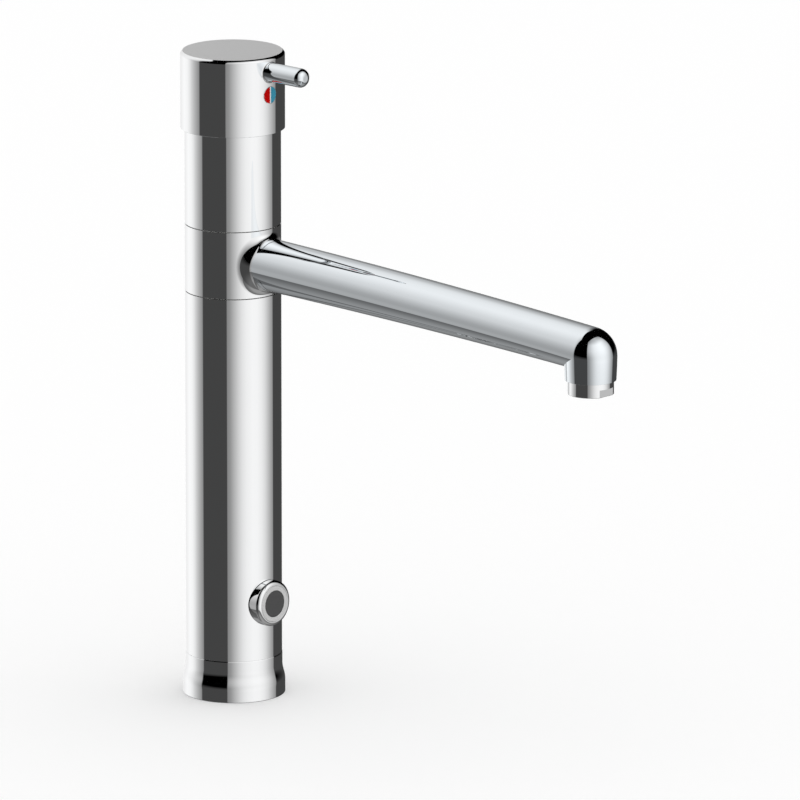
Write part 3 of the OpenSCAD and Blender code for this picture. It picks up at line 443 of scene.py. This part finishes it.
def aroundHole(radius, hole):
    # the contour of a wall's upper or lower part: level round the back, then along half of a hole's edge
    # hole holds (x, y, z) on the wall from its left end to its right end
    angle = np.arctan2(hole[:, 1], hole[:, 0])
    back = np.linspace(0, 1, sideColumns + 1)
    leftAngle = fullTurn[0] + (angle[0] - fullTurn[0]) * back[:-1]
    rightAngle = angle[-1] + (fullTurn[-1] - angle[-1]) * back[1:]
    angles = np.concatenate([leftAngle, angle, rightAngle])
    left, right = np.full(sideColumns, hole[0, 2]), np.full(sideColumns, hole[-1, 2])
    return np.stack([np.full_like(angles, radius), angles, np.concatenate([left, hole[:, 2], right])], -1)


def roundHole(radius, height, size, half):
    # half of a round hole through the front: x = -size cos a, z = height + half * size sin a
    a = np.linspace(0, np.pi, holeColumns + 1)
    x = -size * np.cos(a)
    return np.stack([x, -np.sqrt(radius ** 2 - x ** 2), height + half * size * np.sin(a)], -1)


def holeWall(outer, inner, height, size, half):
    # half of a round hole's own wall, straight from the outer cylinder to the inner one
    first, last = roundHole(outer, height, size, half), roundHole(inner, height, size, half)
    return between(first, last, np.stack([-first[:, 0], 0 * first[:, 0], height - first[:, 2]], -1), rows=3)


def saddle(wall, height, slope, tube, fillet, turnAngles, rows):
    # a ball rolls in the corner between a standing wall and a tube that leaves it: its centre keeps
    # fillet away from both, and the surface is the arc between the two points where it touches;
    # fillet holds the ball's size at each angle round the tube
    length = math.hypot(1, slope)
    along, up = np.array([0, -1, slope]) / length, np.array([0, slope, 1]) / length
    ring = np.outer(np.cos(turnAngles), [1, 0, 0]) + np.outer(np.sin(turnAngles), up)
    base = np.array([0, 0, height]) + (tube + fillet)[:, None] * ring
    reach = wall + fillet
    b = base[:, 1] * along[1]
    c = base[:, 0] ** 2 + base[:, 1] ** 2 - reach ** 2
    s = (-b + np.sqrt(b ** 2 - along[1] ** 2 * c)) / along[1] ** 2
    centre = base + s[:, None] * along
    toWall = -centre * [1, 1, 0] / reach[:, None]
    return ballCorner(centre, toWall, -ring, fillet, rows), ring, along


def ballCorner(centre, toWall, toTube, fillet, rows):
    # the arc on the ball from one touching direction to the other
    opening = np.arccos(np.clip(np.sum(toWall * toTube, -1), -1, 1))[None, :, None]
    share = np.linspace(0, 1, rows)[:, None, None]
    way = (np.sin((1 - share) * opening) * toWall + np.sin(share * opening) * toTube) / np.sin(opening)
    return centre + fillet[:, None] * way, -way


# points in one cell become one; a cell is a ten-thousandth of a millimetre, and the shift keeps round
# places off its edges
weldSteps, weldShift = 1e7, 0.37


def buildPiece(name, patches, slot, body, nodes, second=None, finish=None):
    # grids are welded where they meet, pole faces become triangles, and every corner keeps its exact normal
    # finish is another finish than the slot's; second names one and the patches that have it
    corners, normals, marks, start = [], [], [], 0
    points = np.concatenate([patch[0].reshape(-1, 3) for patch in patches]) / 1000
    for number, (grid, normal) in enumerate(patches):
        rows, columns = grid.shape[:2]
        index = start + np.arange(rows * columns).reshape(rows, columns)
        start += rows * columns
        quads = np.stack([index[:-1, :-1], index[:-1, 1:], index[1:, 1:], index[1:, :-1]], -1)
        corners.append(quads.reshape(-1, 4))
        length = np.maximum(np.linalg.norm(normal, axis=-1, keepdims=True), 1e-12)
        normals.append((normal / length).reshape(-1, 3))
        marks.append(np.full(len(corners[-1]), int(second is not None and number in second[1])))
    corners, normals, marks = np.concatenate(corners), np.concatenate(normals), np.concatenate(marks)
    cells = np.round(points * weldSteps + weldShift).astype(np.int64)
    _, kept, joined = np.unique(cells, axis=0, return_index=True, return_inverse=True)
    joined = joined.reshape(-1)
    # turn round the faces that look inwards
    quad = points[corners]
    flat = np.cross(quad[:, 2] - quad[:, 0], quad[:, 3] - quad[:, 1])
    inward = np.sum(flat * normals[corners].mean(1), -1) < 0
    corners[inward] = corners[inward][:, ::-1]
    welded = joined[corners]
    same = welded == np.roll(welded, -1, axis=1)
    whole, threeSided = same.sum(1) == 0, same.sum(1) == 1
    triangles = corners[threeSided][~same[threeSided]].reshape(-1, 3)
    loops = np.concatenate([corners[whole].reshape(-1), triangles.reshape(-1)])
    mesh = bpy.data.meshes.new(name)
    mesh.from_pydata(points[kept].tolist(), [], joined[corners[whole]].tolist() + joined[triangles].tolist())
    mesh.polygons.foreach_set("use_smooth", np.ones(len(mesh.polygons), bool))
    mesh.materials.append(finishes[finish or slot])
    if second is not None:
        mesh.materials.append(finishes[second[0]])
        mesh.polygons.foreach_set("material_index", np.concatenate([marks[whole], marks[threeSided]]))
    mesh.update()
    mesh.normals_split_custom_set(normals[loops].tolist())
    piece = bpy.data.objects.new(name, mesh)
    bpy.context.scene.collection.objects.link(piece)
    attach(piece, body)
    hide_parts(*nodes)


# Foot
footShape = {"skirt": 5.4, "rim": 5.2, "waist": 23.65, "lip": 0.3, "edge": 0.15, "edgeHeight": 0.40,
             "seam": 0.01, "bore": 21.5, "recess": 23.0, "recessDepth": 1.0, "rows": 41}


def makeFoot(shape):
    # the flare runs as r = foot - (foot - waist) * t^3 (10 - 15 t + 6 t^2) between the skirt and the rim
    high = boxOf("base_foot")[1]
    foot, top, lip, edge = high[0], high[2] - shape["seam"], shape["lip"], shape["edge"]
    skirt, rim, waist = shape["skirt"], top - shape["rim"], shape["waist"]
    bore, recess, depth = shape["bore"], shape["recess"], shape["recessDepth"]
    t = np.linspace(0, 1, shape["rows"])
    flare = np.stack([foot + (waist - foot) * t ** 3 * (10 - 15 * t + 6 * t ** 2),
                      skirt + (rim - skirt) * t], -1)
    profile = [*path((recess, 0), (foot - lip, 0)), bend((foot - lip, lip), lip, -90, 0),
               *path((foot, lip), (foot, skirt)), freeCurve(flare),
               *path((waist, rim), (waist, top - shape["edgeHeight"]), (waist - edge, top), (bore, top),
                     (bore, depth), (recess, depth), (recess, 0))]
    buildPiece("foot_ring", turned(profile, fullTurn), "chrome", "root", ["base_foot"])


makeFoot(footShape)

# Sleeves
sleeveShape = {"wall": 2.0, "edge": 0.06, "seam": 0.1, "sensorHole": 8.6, "rows": 24}


def sleeveRims(radius, inner, low, high, edge, outside, inside):
    # rounded outer edges and flat end faces, with the inner contours on their own angles
    patches = turned([bend((radius - edge, high - edge), edge, 0, 90)], outside)
    patches += turned([bend((radius - edge, low + edge), edge, -90, 0)], outside)
    for height, up in ((high, 1), (low, -1)):
        outerRow, innerRow = ringContour(radius - edge, outside, height), ringContour(inner, inside, height)
        patches.append(flatRing(outerRow, innerRow, up))
    return patches


def makeLowerSleeve(shape):
    low, high = boxOf("lower_sleeve")
    high[2] -= shape["seam"]
    radius, inner, edge = high[0], high[0] - shape["wall"], shape["edge"]
    sensorLow, sensorHigh = boxOf("sensor_housing")
    height = (sensorLow[2] + sensorHigh[2]) / 2
    walls, contours = [], {}
    for wall, outward, inset in ((radius, 1, edge), (inner, -1, 0)):
        for half in (-1, 1):
            contour = aroundHole(wall, roundHole(wall, height, shape["sensorHole"], half))
            end = high[2] - inset if half > 0 else low[2] + inset
            walls.append(roundWall(contour, ringContour(wall, contour[:, 1], end), shape["rows"], outward))
        contours[outward] = contour[:, 1]
    walls += [holeWall(radius, inner, height, shape["sensorHole"], half) for half in (-1, 1)]
    walls += sleeveRims(radius, inner, low[2], high[2], edge, contours[1], contours[-1])
    buildPiece("lower_tube", walls, "chrome", "root", ["lower_sleeve"])


def makeUpperSleeve(shape):
    low, high = boxOf("upper_sleeve")
    bottom, top = low[2] + shape["seam"], high[2]
    radius, inner, edge = high[0], high[0] - shape["wall"], shape["edge"]
    corners = [(inner, bottom, 0), (radius, bottom, edge), (radius, top, edge), (inner, top, 0)]
    profile = rounded(corners, closed=True)
    buildPiece("upper_tube", turned(profile, fullTurn), "chrome", "root", ["upper_sleeve"])


makeLowerSleeve(sleeveShape)
makeUpperSleeve(sleeveShape)
print("stage: foot and sleeves made")

# Spout
# It falls in a slight bow. It is round above its widest level and grows flatter below it.
spoutShape = {"level": 219.16, "slope": -0.0221, "bow": -8.03e-5, "straightTo": 30.0, "root": 12.7,
              "tip": 12.75, "tipAt": 237.5, "droop": 0.4, "droopFrom": 190.0, "flatFrom": 33.0,
              "flatOver": 16.0, "flatten": 0.0199, "wall": 1.5, "socket": 19.05, "rowsFrom": 26.0, "rows": 90}


def spoutForm(t, shape):
    # widest level, half width and the half heights above and below that level, at the distance t:
    # level = z0 + m t + k t^2 - droop s^2, half width w grows evenly to the tip, above = w + droop,
    # below = w0 less a length that grows evenly past flatFrom
    t = np.asarray(t, float)
    bent = np.maximum(t, shape["straightTo"])
    slope = shape["slope"] + 2 * shape["bow"] * bent
    level = shape["level"] + shape["slope"] * bent + shape["bow"] * bent ** 2 + slope * (t - bent)
    share = np.maximum(t - shape["straightTo"], 0) / (shape["tipAt"] - shape["straightTo"])
    last = np.maximum(t - shape["droopFrom"], 0) / (shape["tipAt"] - shape["droopFrom"])
    droop = shape["droop"] * last ** 2
    width = shape["root"] + (shape["tip"] - shape["root"]) * share
    onset = np.clip(t - shape["flatFrom"], 0, shape["flatOver"])
    flatter = onset ** 2 / (2 * shape["flatOver"]) + np.maximum(t - shape["flatFrom"] - shape["flatOver"], 0)
    return level - droop, width, width + droop, shape["root"] - shape["flatten"] * flatter - droop


def spoutRates(t, shape):
    # how fast each of those grows along the spout, from half a millimetre before to half a millimetre after
    return [after - before for after, before in zip(spoutForm(t + 0.5, shape), spoutForm(t - 0.5, shape))]


def spoutGrid(t, angles, shape, shrink=0.0, outward=1):
    # points (w cos a, -t, level + h sin a), h being the half height above or below; the normal stands
    # square to the ways round and along: (h cos a, w' h cos^2 a + w sin a (level' + h' sin a), w sin a)
    t = t + 0 * angles
    level, width, above, below = spoutForm(t, shape)
    levelRate, widthRate, aboveRate, belowRate = spoutRates(t, shape)
    across, up = np.cos(angles) + 0 * t, np.sin(angles) + 0 * t
    half = np.where(up >= 0, above, below) - shrink
    halfRate = np.where(up >= 0, aboveRate, belowRate)
    width = width - shrink
    lean = widthRate * half * across ** 2 + width * up * (levelRate + halfRate * up)
    points = np.stack([width * across, -t, level + half * up], -1)
    return points, np.stack([half * across, lean, width * up], -1) * outward


def makeSpout(shape, elbowStart):
    further = np.linspace(shape["rowsFrom"], elbowStart, shape["rows"])
    t = np.concatenate([[shape["socket"]], further])[:, None]
    outer, inner = spoutGrid(t, around, shape), spoutGrid(t, around, shape, shape["wall"], -1)
    ends = [between(outer[0][row], inner[0][row], (0, way, 0)) for row, way in ((0, 1), (-1, -1))]
    # the spout arm gets the chrome with the painted cool reflection
    buildPiece("spout_arm", [outer, inner, *ends], "chrome", "spout", ["spout_tube"], finish="cool_chrome")


# Collar
collarShape = {"edge": 0.06, "bore": 17.6, "fit": 0.02, "sideFillet": 9.5, "topFillet": 2.6, "filletRows": 17,
               "rows": 12}


def makeCollar(shape, spout):
    low, high = boxOf("swivel_collar")
    radius, edge, bore = boxOf("upper_sleeve")[1][0], shape["edge"], shape["bore"]
    level, slope = float(spoutForm(0.0, spout)[0]), float(spoutRates(0.0, spout)[0])
    size = shape["topFillet"] + (shape["sideFillet"] - shape["topFillet"]) * np.cos(fromLeft) ** 2
    (fillet, normal), ring, along = saddle(radius, level, slope, spout["root"] + shape["fit"], size, fromLeft,
                                           shape["filletRows"])
    upper = aroundHole(radius, fillet[0][:holeColumns + 1])
    lower = aroundHole(radius, fillet[0][holeColumns:][::-1])
    patches = [(fillet, normal),
               roundWall(upper, ringContour(radius, upper[:, 1], high[2] - edge), shape["rows"]),
               roundWall(lower, ringContour(radius, lower[:, 1], low[2] + edge), shape["rows"])]
    # the socket that the tube stands in
    seat = fillet[-1] + (fillet[-1][:, 1:2] + spout["socket"]) * along / -along[1]
    patches += [between(fillet[-1], seat, -ring, rows=3), between(seat, seat.mean(0), (0, -1, 0))]
    # rims, end faces and bore
    patches += turned([bend((radius - edge, high[2] - edge), edge, 0, 90),
                       straight((radius - edge, high[2]), (bore, high[2]))], upper[:, 1])
    patches += turned([straight((bore, low[2]), (radius - edge, low[2])),
                       bend((radius - edge, low[2] + edge), edge, -90, 0)], lower[:, 1])
    boreTop, boreLow = ringContour(bore, upper[:, 1], high[2]), ringContour(bore, lower[:, 1], low[2])
    patches.append(roundWall(boreTop, boreLow, 2, -1))
    buildPiece("spout_collar", patches, "chrome", "spout", ["swivel_collar"])


# Elbow
elbowShape = {"start": 221.0, "reach": 236.95, "rim": 12.35, "rimAt": 196.65, "taper": 1.5, "edge": 0.05,
              "bore": 10.75, "boreTop": 8.1, "rows": 18, "guess": 8.0, "tries": 60}


def makeElbow(shape, spout):
    # the tube's upper half runs on into half a dome, which is its own section turned round the nozzle's
    # upright axis and leaning with the tube; the lower half meets the nozzle in a crease
    reach, rim, rimZ, edge = shape["reach"], shape["rim"], shape["rimAt"], shape["edge"]
    level, width, above, _ = [float(value) for value in spoutForm(reach, spout)]
    levelRate, _, aboveRate, _ = [float(value) for value in spoutRates(reach, spout)]
    upperAngles, lowerAngles = around[:holeColumns + 1], around[holeColumns:]

    def nozzleWall(z, start):
        # radius w - (w - rim) s^taper and its growth with height, s from 0 at the start to 1 at the rim
        tall = start - rimZ - edge
        s = np.clip((start - z) / tall, 0, 1)
        growth = (width - rim) * shape["taper"] * s ** (shape["taper"] - 1) / tall
        return width - (width - rim) * s ** shape["taper"], growth

    # the crease lies where t = reach - sqrt(r^2 - x^2), with x and z on the tube's lower half;
    # each try goes half of the way there
    t = np.full(lowerAngles.shape, reach - shape["guess"])
    for _ in range(shape["tries"]):
        levelAt, widthAt, _, belowAt = spoutForm(t, spout)
        radius, _ = nozzleWall(levelAt + belowAt * np.sin(lowerAngles), level + levelRate * (t - reach))
        out = np.sqrt(np.maximum(radius ** 2 - (widthAt * np.cos(lowerAngles)) ** 2, 0))
        t = 0.5 * t + 0.5 * (reach - out)
    t[[0, -1]] = reach                 # at both sides it starts right at the nozzle's axis
    crease = spoutGrid(t[None], lowerAngles, spout)[0][0]

    share = np.linspace(0, 1, shape["rows"])[:, None]
    upperTube = spoutGrid(shape["start"] * (1 - share) + reach * share, upperAngles, spout)
    lowerTube = spoutGrid(shape["start"] * (1 - share) + t[None] * share, lowerAngles, spout)
    startRing = np.concatenate([upperTube[0][0], lowerTube[0][0][1:]])
    patches = [upperTube, lowerTube, between(startRing, startRing.mean(0), (0, 1, 0))]

    # dome: x = w cos p cos q, forward f = w cos p sin q, z = level + h sin p + (level' + h' sin p) f
    p, q = upperAngles[:holeColumns // 2 + 1, None], upperAngles[None]
    lean = levelRate + aboveRate * np.sin(p)
    out = width * np.cos(p) * np.sin(q)
    dome = np.stack([width * np.cos(p) * np.cos(q), -reach - out, level + above * np.sin(p) + lean * out], -1)
    side = 0 * out
    wayRound = np.stack([side - width * np.sin(q), side + width * np.cos(q), lean * width * np.cos(q)], -1)
    wayUp = np.stack([-width * np.sin(p) * np.cos(q), -width * np.sin(p) * np.sin(q),
                      np.cos(p) * (above + aboveRate * out) - lean * width * np.sin(p) * np.sin(q)], -1)
    patches.append((dome, np.cross(wayRound, wayUp) * [1, -1, 1]))

    # nozzle: in front from the dome's lower edge, behind from the crease, straight down to the rim
    creaseOut = (crease - [0, -reach, 0]) * [1, 1, 0]
    ways = np.concatenate([np.stack([np.cos(upperAngles), -np.sin(upperAngles), 0 * upperAngles], -1),
                           creaseOut[1:] / np.linalg.norm(creaseOut[1:], axis=1)[:, None]])
    start = np.concatenate([dome[0, :, 2], level + levelRate * (t[1:] - reach)])
    top = np.concatenate([dome[0, :, 2], crease[1:, 2]])
    z = top * (1 - share) + (rimZ + edge) * share
    radius, growth = nozzleWall(z, start)
    wall = ways * radius[..., None] + [0, -reach, 0]
    wall[..., 2] = z
    patches.append((wall, ways - growth[..., None] * [0, 0, 1]))

    # rim, underside and the bore for the aerator
    columns = np.unwrap(np.arctan2(ways[:, 1], ways[:, 0]))
    bore, boreZ = shape["bore"], rimZ + shape["boreTop"]
    profile = [bend((rim - edge, rimZ + edge), edge, 0, -90),
               *path((rim - edge, rimZ), (bore, rimZ), (bore, boreZ), (0, boreZ))]
    patches += turned([(points, -normals) for points, normals in profile], columns, origin=(0, -reach, 0))
    # the elbow gets the chrome with the painted cool reflection
    buildPiece("spout_elbow_shell", patches, "chrome", "spout", ["spout_elbow"], finish="cool_chrome")


makeCollar(collarShape, spoutShape)
makeSpout(spoutShape, elbowShape["start"])
makeElbow(elbowShape, spoutShape)

# Aerator
aeratorShape = {"radius": 11.2, "flat": 10.2, "flatHeight": 3.8, "edge": 0.2, "lipBore": 8.0, "bore": 8.55,
                "lip": 1.0, "thread": 10.7, "threadHeight": 7.0, "gap": 0.02, "columns": 40}


def makeAerator(shape, elbow):
    bottom, top = boxOf("aerator_housing")[0][2], elbow["rimAt"]
    radius, flat, edge, columns = shape["radius"], shape["flat"], shape["edge"], shape["columns"]
    ledge, rim, lip = bottom + shape["flatHeight"], top - shape["gap"], bottom + shape["lip"]
    thread, threadTop = shape["thread"], top + shape["threadHeight"]
    bore, lipBore = shape["bore"], shape["lipBore"]
    start = math.asin(flat / radius)
    # four stretches round the ring: flat behind and in front, round at the sides
    stops = [start - np.pi, -start, start, np.pi - start, np.pi + start]
    stretches = [np.linspace(first, last, columns) for first, last in zip(stops, stops[1:])]
    whole = np.concatenate([angles[:-1] for angles in stretches] + [stretches[-1][-1:]])
    origin = np.array([0, -elbow["reach"], 0])
    profile = path((radius, ledge), (radius, rim), (thread, rim), (thread, threadTop), (bore, threadTop),
                   (bore, lip), (lipBore, lip), (lipBore, bottom))
    patches = turned(profile, whole, origin=origin)
    for angles, level in zip(stretches, (True, False, True, False)):
        ways = np.stack([np.cos(angles), np.sin(angles), 0 * angles], -1)
        reach = flat / np.abs(np.sin(angles)) if level else np.full_like(angles, radius)
        outward = np.array([0, np.sign(math.sin(angles[columns // 2])), 0]) if level else ways
        wall = reach[:, None] * ways + origin
        upperRow, lowerRow = wall + (0, 0, ledge), wall + (0, 0, bottom + edge)
        footRow = (reach - edge)[:, None] * ways + origin + (0, 0, bottom)
        lipRow = lipBore * ways + origin + (0, 0, bottom)
        patches += [between(lowerRow, upperRow, outward),
                    between(footRow, lowerRow, outward - np.array([0, 0, 1])),
                    between(lipRow, footRow, (0, 0, -1))]
        if level:
            patches.append(between(upperRow, radius * ways + origin + (0, 0, ledge), (0, 0, -1)))
    buildPiece("aerator_ring", patches, "chrome", "spout", ["aerator_housing"])


makeAerator(aeratorShape, elbowShape)
print("stage: spout made")

# Handle
handleShape = {"edge": 1.77, "edgeTo": 50.0, "edgeRows": 17, "bevel": 0.75, "bottom": 283.2, "chamfer": 0.1,
               "bore": 23.8, "cavity": 23.0, "boreTop": 294.7, "topWall": 3.0, "leverFillet": 1.0,
               "leverTopFillet": 0.36, "filletRows": 11, "leverFit": 0.02, "leverSeat": 1.6,
               "leverLower": 0.17, "leverMore": 0.1, "markPocket": 4.32, "markDepth": 1.2,
               "rows": {"aboveLever": 6, "aboveMark": 5, "belowMark": 12, "pocket": 6}}


def makeHandle(shape):
    high = boxOf("handle_cap")[1]
    radius, bottom, top, chamfer = high[0], shape["bottom"], high[2], shape["chamfer"]
    leverLow, leverHigh = boxOf("lever_pin")
    leverZ = (leverLow[2] + leverHigh[2]) / 2 - shape["leverLower"]
    lever = leverHigh[0] + shape["leverMore"] + shape["leverFit"]
    markLow, markHigh = boxOf("indicator_plug")
    markZ, rows = (markLow[2] + markHigh[2]) / 2, shape["rows"]
    # the lever's fillet is smaller on top, where it has to end under the cap's rounded edge
    size, onTop = shape["leverFillet"], np.maximum(np.sin(fromLeft), 0) ** 2
    size = size - (size - shape["leverTopFillet"]) * onTop
    (fillet, normal), ring, _ = saddle(radius, leverZ, 0.0, lever, size, fromLeft, shape["filletRows"])
    upperLever = aroundHole(radius, fillet[0][:holeColumns + 1])
    lowerLever = aroundHole(radius, fillet[0][holeColumns:][::-1])
    markEdge = {half: aroundHole(radius, roundHole(radius, markZ, shape["markPocket"], half))
                for half in (-1, 1)}
    # the edge is an arc with a bevel over it that meets the satin face in a crisp line
    edge, end, bevel = shape["edge"], math.radians(shape["edgeTo"]), shape["bevel"]
    edgeZ = top - edge * math.sin(end) - bevel * math.cos(end)
    bevelTop = radius - edge * (1 - math.cos(end)) - bevel * math.sin(end)
    bevelLow = (bevelTop + bevel * math.sin(end), top - bevel * math.cos(end))
    patches = turned([straight((bevelTop, top), (0, top)),
                      bend((radius - edge, edgeZ), edge, 0, shape["edgeTo"], shape["edgeRows"]),
                      straight(bevelLow, (bevelTop, top))], upperLever[:, 1])
    patches.append((fillet, normal))
    patches.append(roundWall(upperLever, ringContour(radius, upperLever[:, 1], edgeZ), rows["aboveLever"]))
    # from the lever's hole straight down to a level line, and from there to the mark's edge
    level = ringContour(radius, lowerLever[:, 1], (lowerLever[:, 2].min() + markEdge[1][:, 2].max()) / 2)
    patches.append(roundWall(lowerLever, level, rows["aboveMark"]))
    patches.append(roundWall(level, markEdge[1], rows["aboveMark"]))
    foot = ringContour(radius, markEdge[-1][:, 1], bottom + chamfer)
    patches.append(roundWall(foot, markEdge[-1], rows["belowMark"]))
    # the lever's socket
    seat = fillet[-1] * [1, 0, 1] + [0, shape["leverSeat"] - radius, 0]
    patches += [between(fillet[-1], seat, -ring, rows=3), between(seat, seat.mean(0), (0, -1, 0))]
    # the mark's pocket
    for half in (-1, 1):
        wall = holeWall(radius, radius - shape["markDepth"], markZ, shape["markPocket"], half)
        last = wall[0][-1]
        patches += [wall, between(last, last * [1, 1, 0] + [0, 0, markZ], last * [1, 1, 0], rows["pocket"])]
    # inside and underside
    under, bore, cavity, boreTop = top - shape["topWall"], shape["bore"], shape["cavity"], shape["boreTop"]
    patches += turned(path((0, under), (cavity, under), (cavity, boreTop), (bore, boreTop), (bore, bottom),
                           (radius - chamfer, bottom), (radius, bottom + chamfer)), markEdge[-1][:, 1])
    buildPiece("handle_shell", patches, "chrome", "handle", ["handle_cap"], ("satin_chrome", [0]))


leverShape = {"shank": 3.0, "inside": 14.0, "edge": 3.4, "innerEdge": 0.2, "longer": 1.65}


def makeLever(shape, handle):
    low, high = boxOf("lever_pin")
    radius, end = high[0] + handle["leverMore"], shape["longer"] - low[1]
    height = (low[2] + high[2]) / 2 - handle["leverLower"]
    seat, shank, inside = boxOf("handle_cap")[1][0] - handle["leverSeat"], shape["shank"], shape["inside"]
    profile = rounded([(0, inside, 0), (shank, inside, shape["innerEdge"]), (shank, seat, 0),
                       (radius, seat, 0), (radius, end, shape["edge"]), (0, end, 0)])
    # the lever gets the chrome with the painted cool reflection
    buildPiece("lever", turned(profile, fullTurn, forward, (0, 0, height)), "chrome", "handle", ["lever_pin"],
               finish="cool_chrome")


# Mark: a round white plate with a red and a blue half let into it
markShape = {"radius": 4.1, "inset": 4.06, "line": 0.7, "proud": 0.15, "skin": 0.4, "plateFront": 0.05,
             "plateBack": 1.2}
plateColumns, plateRows = 33, 9


def curvedPlate(left, right, size, outer, inner, height):
    # a plate with a round outline on a cylinder: x across, z = height + v * sqrt(size^2 - x^2)
    x = np.linspace(left, right, plateColumns)
    tall = np.sqrt(np.maximum(size ** 2 - x ** 2, 0))
    faces, patches = [], []
    for radius, sign in ((outer, 1), (inner, -1)):
        y = -np.sqrt(radius ** 2 - x ** 2)
        low, high = np.stack([x, y, height - tall], -1), np.stack([x, y, height + tall], -1)
        faces.append((low, high))
        patches.append(between(low, high, np.stack([x, y, 0 * x], -1) * sign, plateRows))
    for part, sign in ((0, -1), (1, 1)):
        patches.append(between(faces[0][part], faces[1][part], np.stack([x, 0 * x, sign * tall + tiny], -1)))
    for column, sign in ((0, -1), (-1, 1)):
        (first, firstEnd), (last, lastEnd) = [[row[column] for row in face] for face in faces]
        if np.linalg.norm(first - firstEnd) > tiny:
            steps = np.linspace(0, 1, plateRows)[:, None]
            outerRow, innerRow = first * (1 - steps) + firstEnd * steps, last * (1 - steps) + lastEnd * steps
            patches.append(between(outerRow, innerRow, (sign, 0, 0)))
    return patches


def makeMark(shape):
    low, high = boxOf("indicator_plug")
    height, outer = (low[2] + high[2]) / 2, boxOf("handle_cap")[1][0] + shape["proud"]
    back, size, line, plate = outer - shape["skin"], shape["inset"], shape["line"] / 2, shape["radius"]
    white = curvedPlate(-plate, plate, plate, outer - shape["plateFront"], outer - shape["plateBack"], height)
    red = curvedPlate(-size, -line, size, outer, back, height)
    blue = curvedPlate(line, size, size, outer, back, height)
    for name, patches, slot, node in (("mark_plate", white, "mark_white", "indicator_plug"),
                                      ("mark_warm", red, "mark_red", "indicator_red"),
                                      ("mark_cold", blue, "mark_blue", "indicator_blue")):
        buildPiece(name, patches, slot, "handle", [node])


makeHandle(handleShape)
makeLever(leverShape, handleShape)
makeMark(markShape)
print("stage: handle made")

# Sensor
sensorShape = {"gap": 0.4, "edge": 2.0, "shank": 8.5, "inside": 9.5, "recess": 1.0, "pocket": 2.9,
               "ring": 8.9, "fit": 0.05, "lens": 6.6, "smallEdge": 0.12, "sideRows": 4, "underRows": 6}


def makeSensor(shape):
    low, high = boxOf("sensor_housing")
    size, face, origin = high[0], -low[1], np.array([0, 0, (low[2] + high[2]) / 2])
    body = boxOf("upper_sleeve")[1][0] + shape["gap"]
    edge, small, shank, inside = shape["edge"], shape["smallEdge"], shape["shank"], shape["inside"]
    lens, ring, fit = shape["lens"], shape["ring"], shape["fit"]
    hole, holder = lens + fit, ring + fit
    ledge, floor = face - shape["recess"], face - shape["pocket"]
    out = np.stack([np.cos(fullTurn), 0 * fullTurn, np.sin(fullTurn)], -1)

    def onBody(radius):
        # a row round the sensor's axis that lies on the cylinder just outside the sleeve
        x = radius * np.cos(fullTurn)
        return np.stack([x, -np.sqrt(body ** 2 - x ** 2), origin[2] + radius * np.sin(fullTurn)], -1)

    outerRow, shankRow = onBody(size), onBody(shank)
    under, _ = between(shankRow, outerRow, (0, 0, 0), shape["underRows"])
    patches = [between(outerRow, size * out + origin - (0, face - edge, 0), out, shape["sideRows"]),
               (under, -under * [1, 1, 0]),
               between(shank * out + origin - (0, inside, 0), shankRow, out, rows=3)]
    profile = rounded([(size, 0, 0), (size, face, edge), (holder, face, small), (holder, ledge, 0),
                       (hole, ledge, 0), (hole, floor, 0), (0, floor, 0)])
    # the profile's first line is the side, which is there already
    profile = profile[1:] + path((0, inside), (shank, inside))
    patches += turned(profile, fullTurn, forward, origin)
    buildPiece("sensor_head", patches, "chrome", "root", ["sensor_housing"])

    corners = [(hole, ledge, 0), (ring, ledge, 0), (ring, face, small), (hole, face, small)]
    patches = turned(rounded(corners, closed=True), fullTurn, forward, origin)
    # the ring gets the satin chrome painted lighter, as painted light
    buildPiece("sensor_ring", patches, "satin_chrome", "root", ["sensor_bezel"], finish="light_satin")

    corners = [(0, floor, 0), (lens, floor, 0), (lens, face, small), (0, face, 0)]
    patches = turned(rounded(corners), fullTurn, forward, origin)
    buildPiece("sensor_window", patches, "dark_lens", "root", ["sensor_lens"])


makeSensor(sensorShape)
print("stage: sensor made")
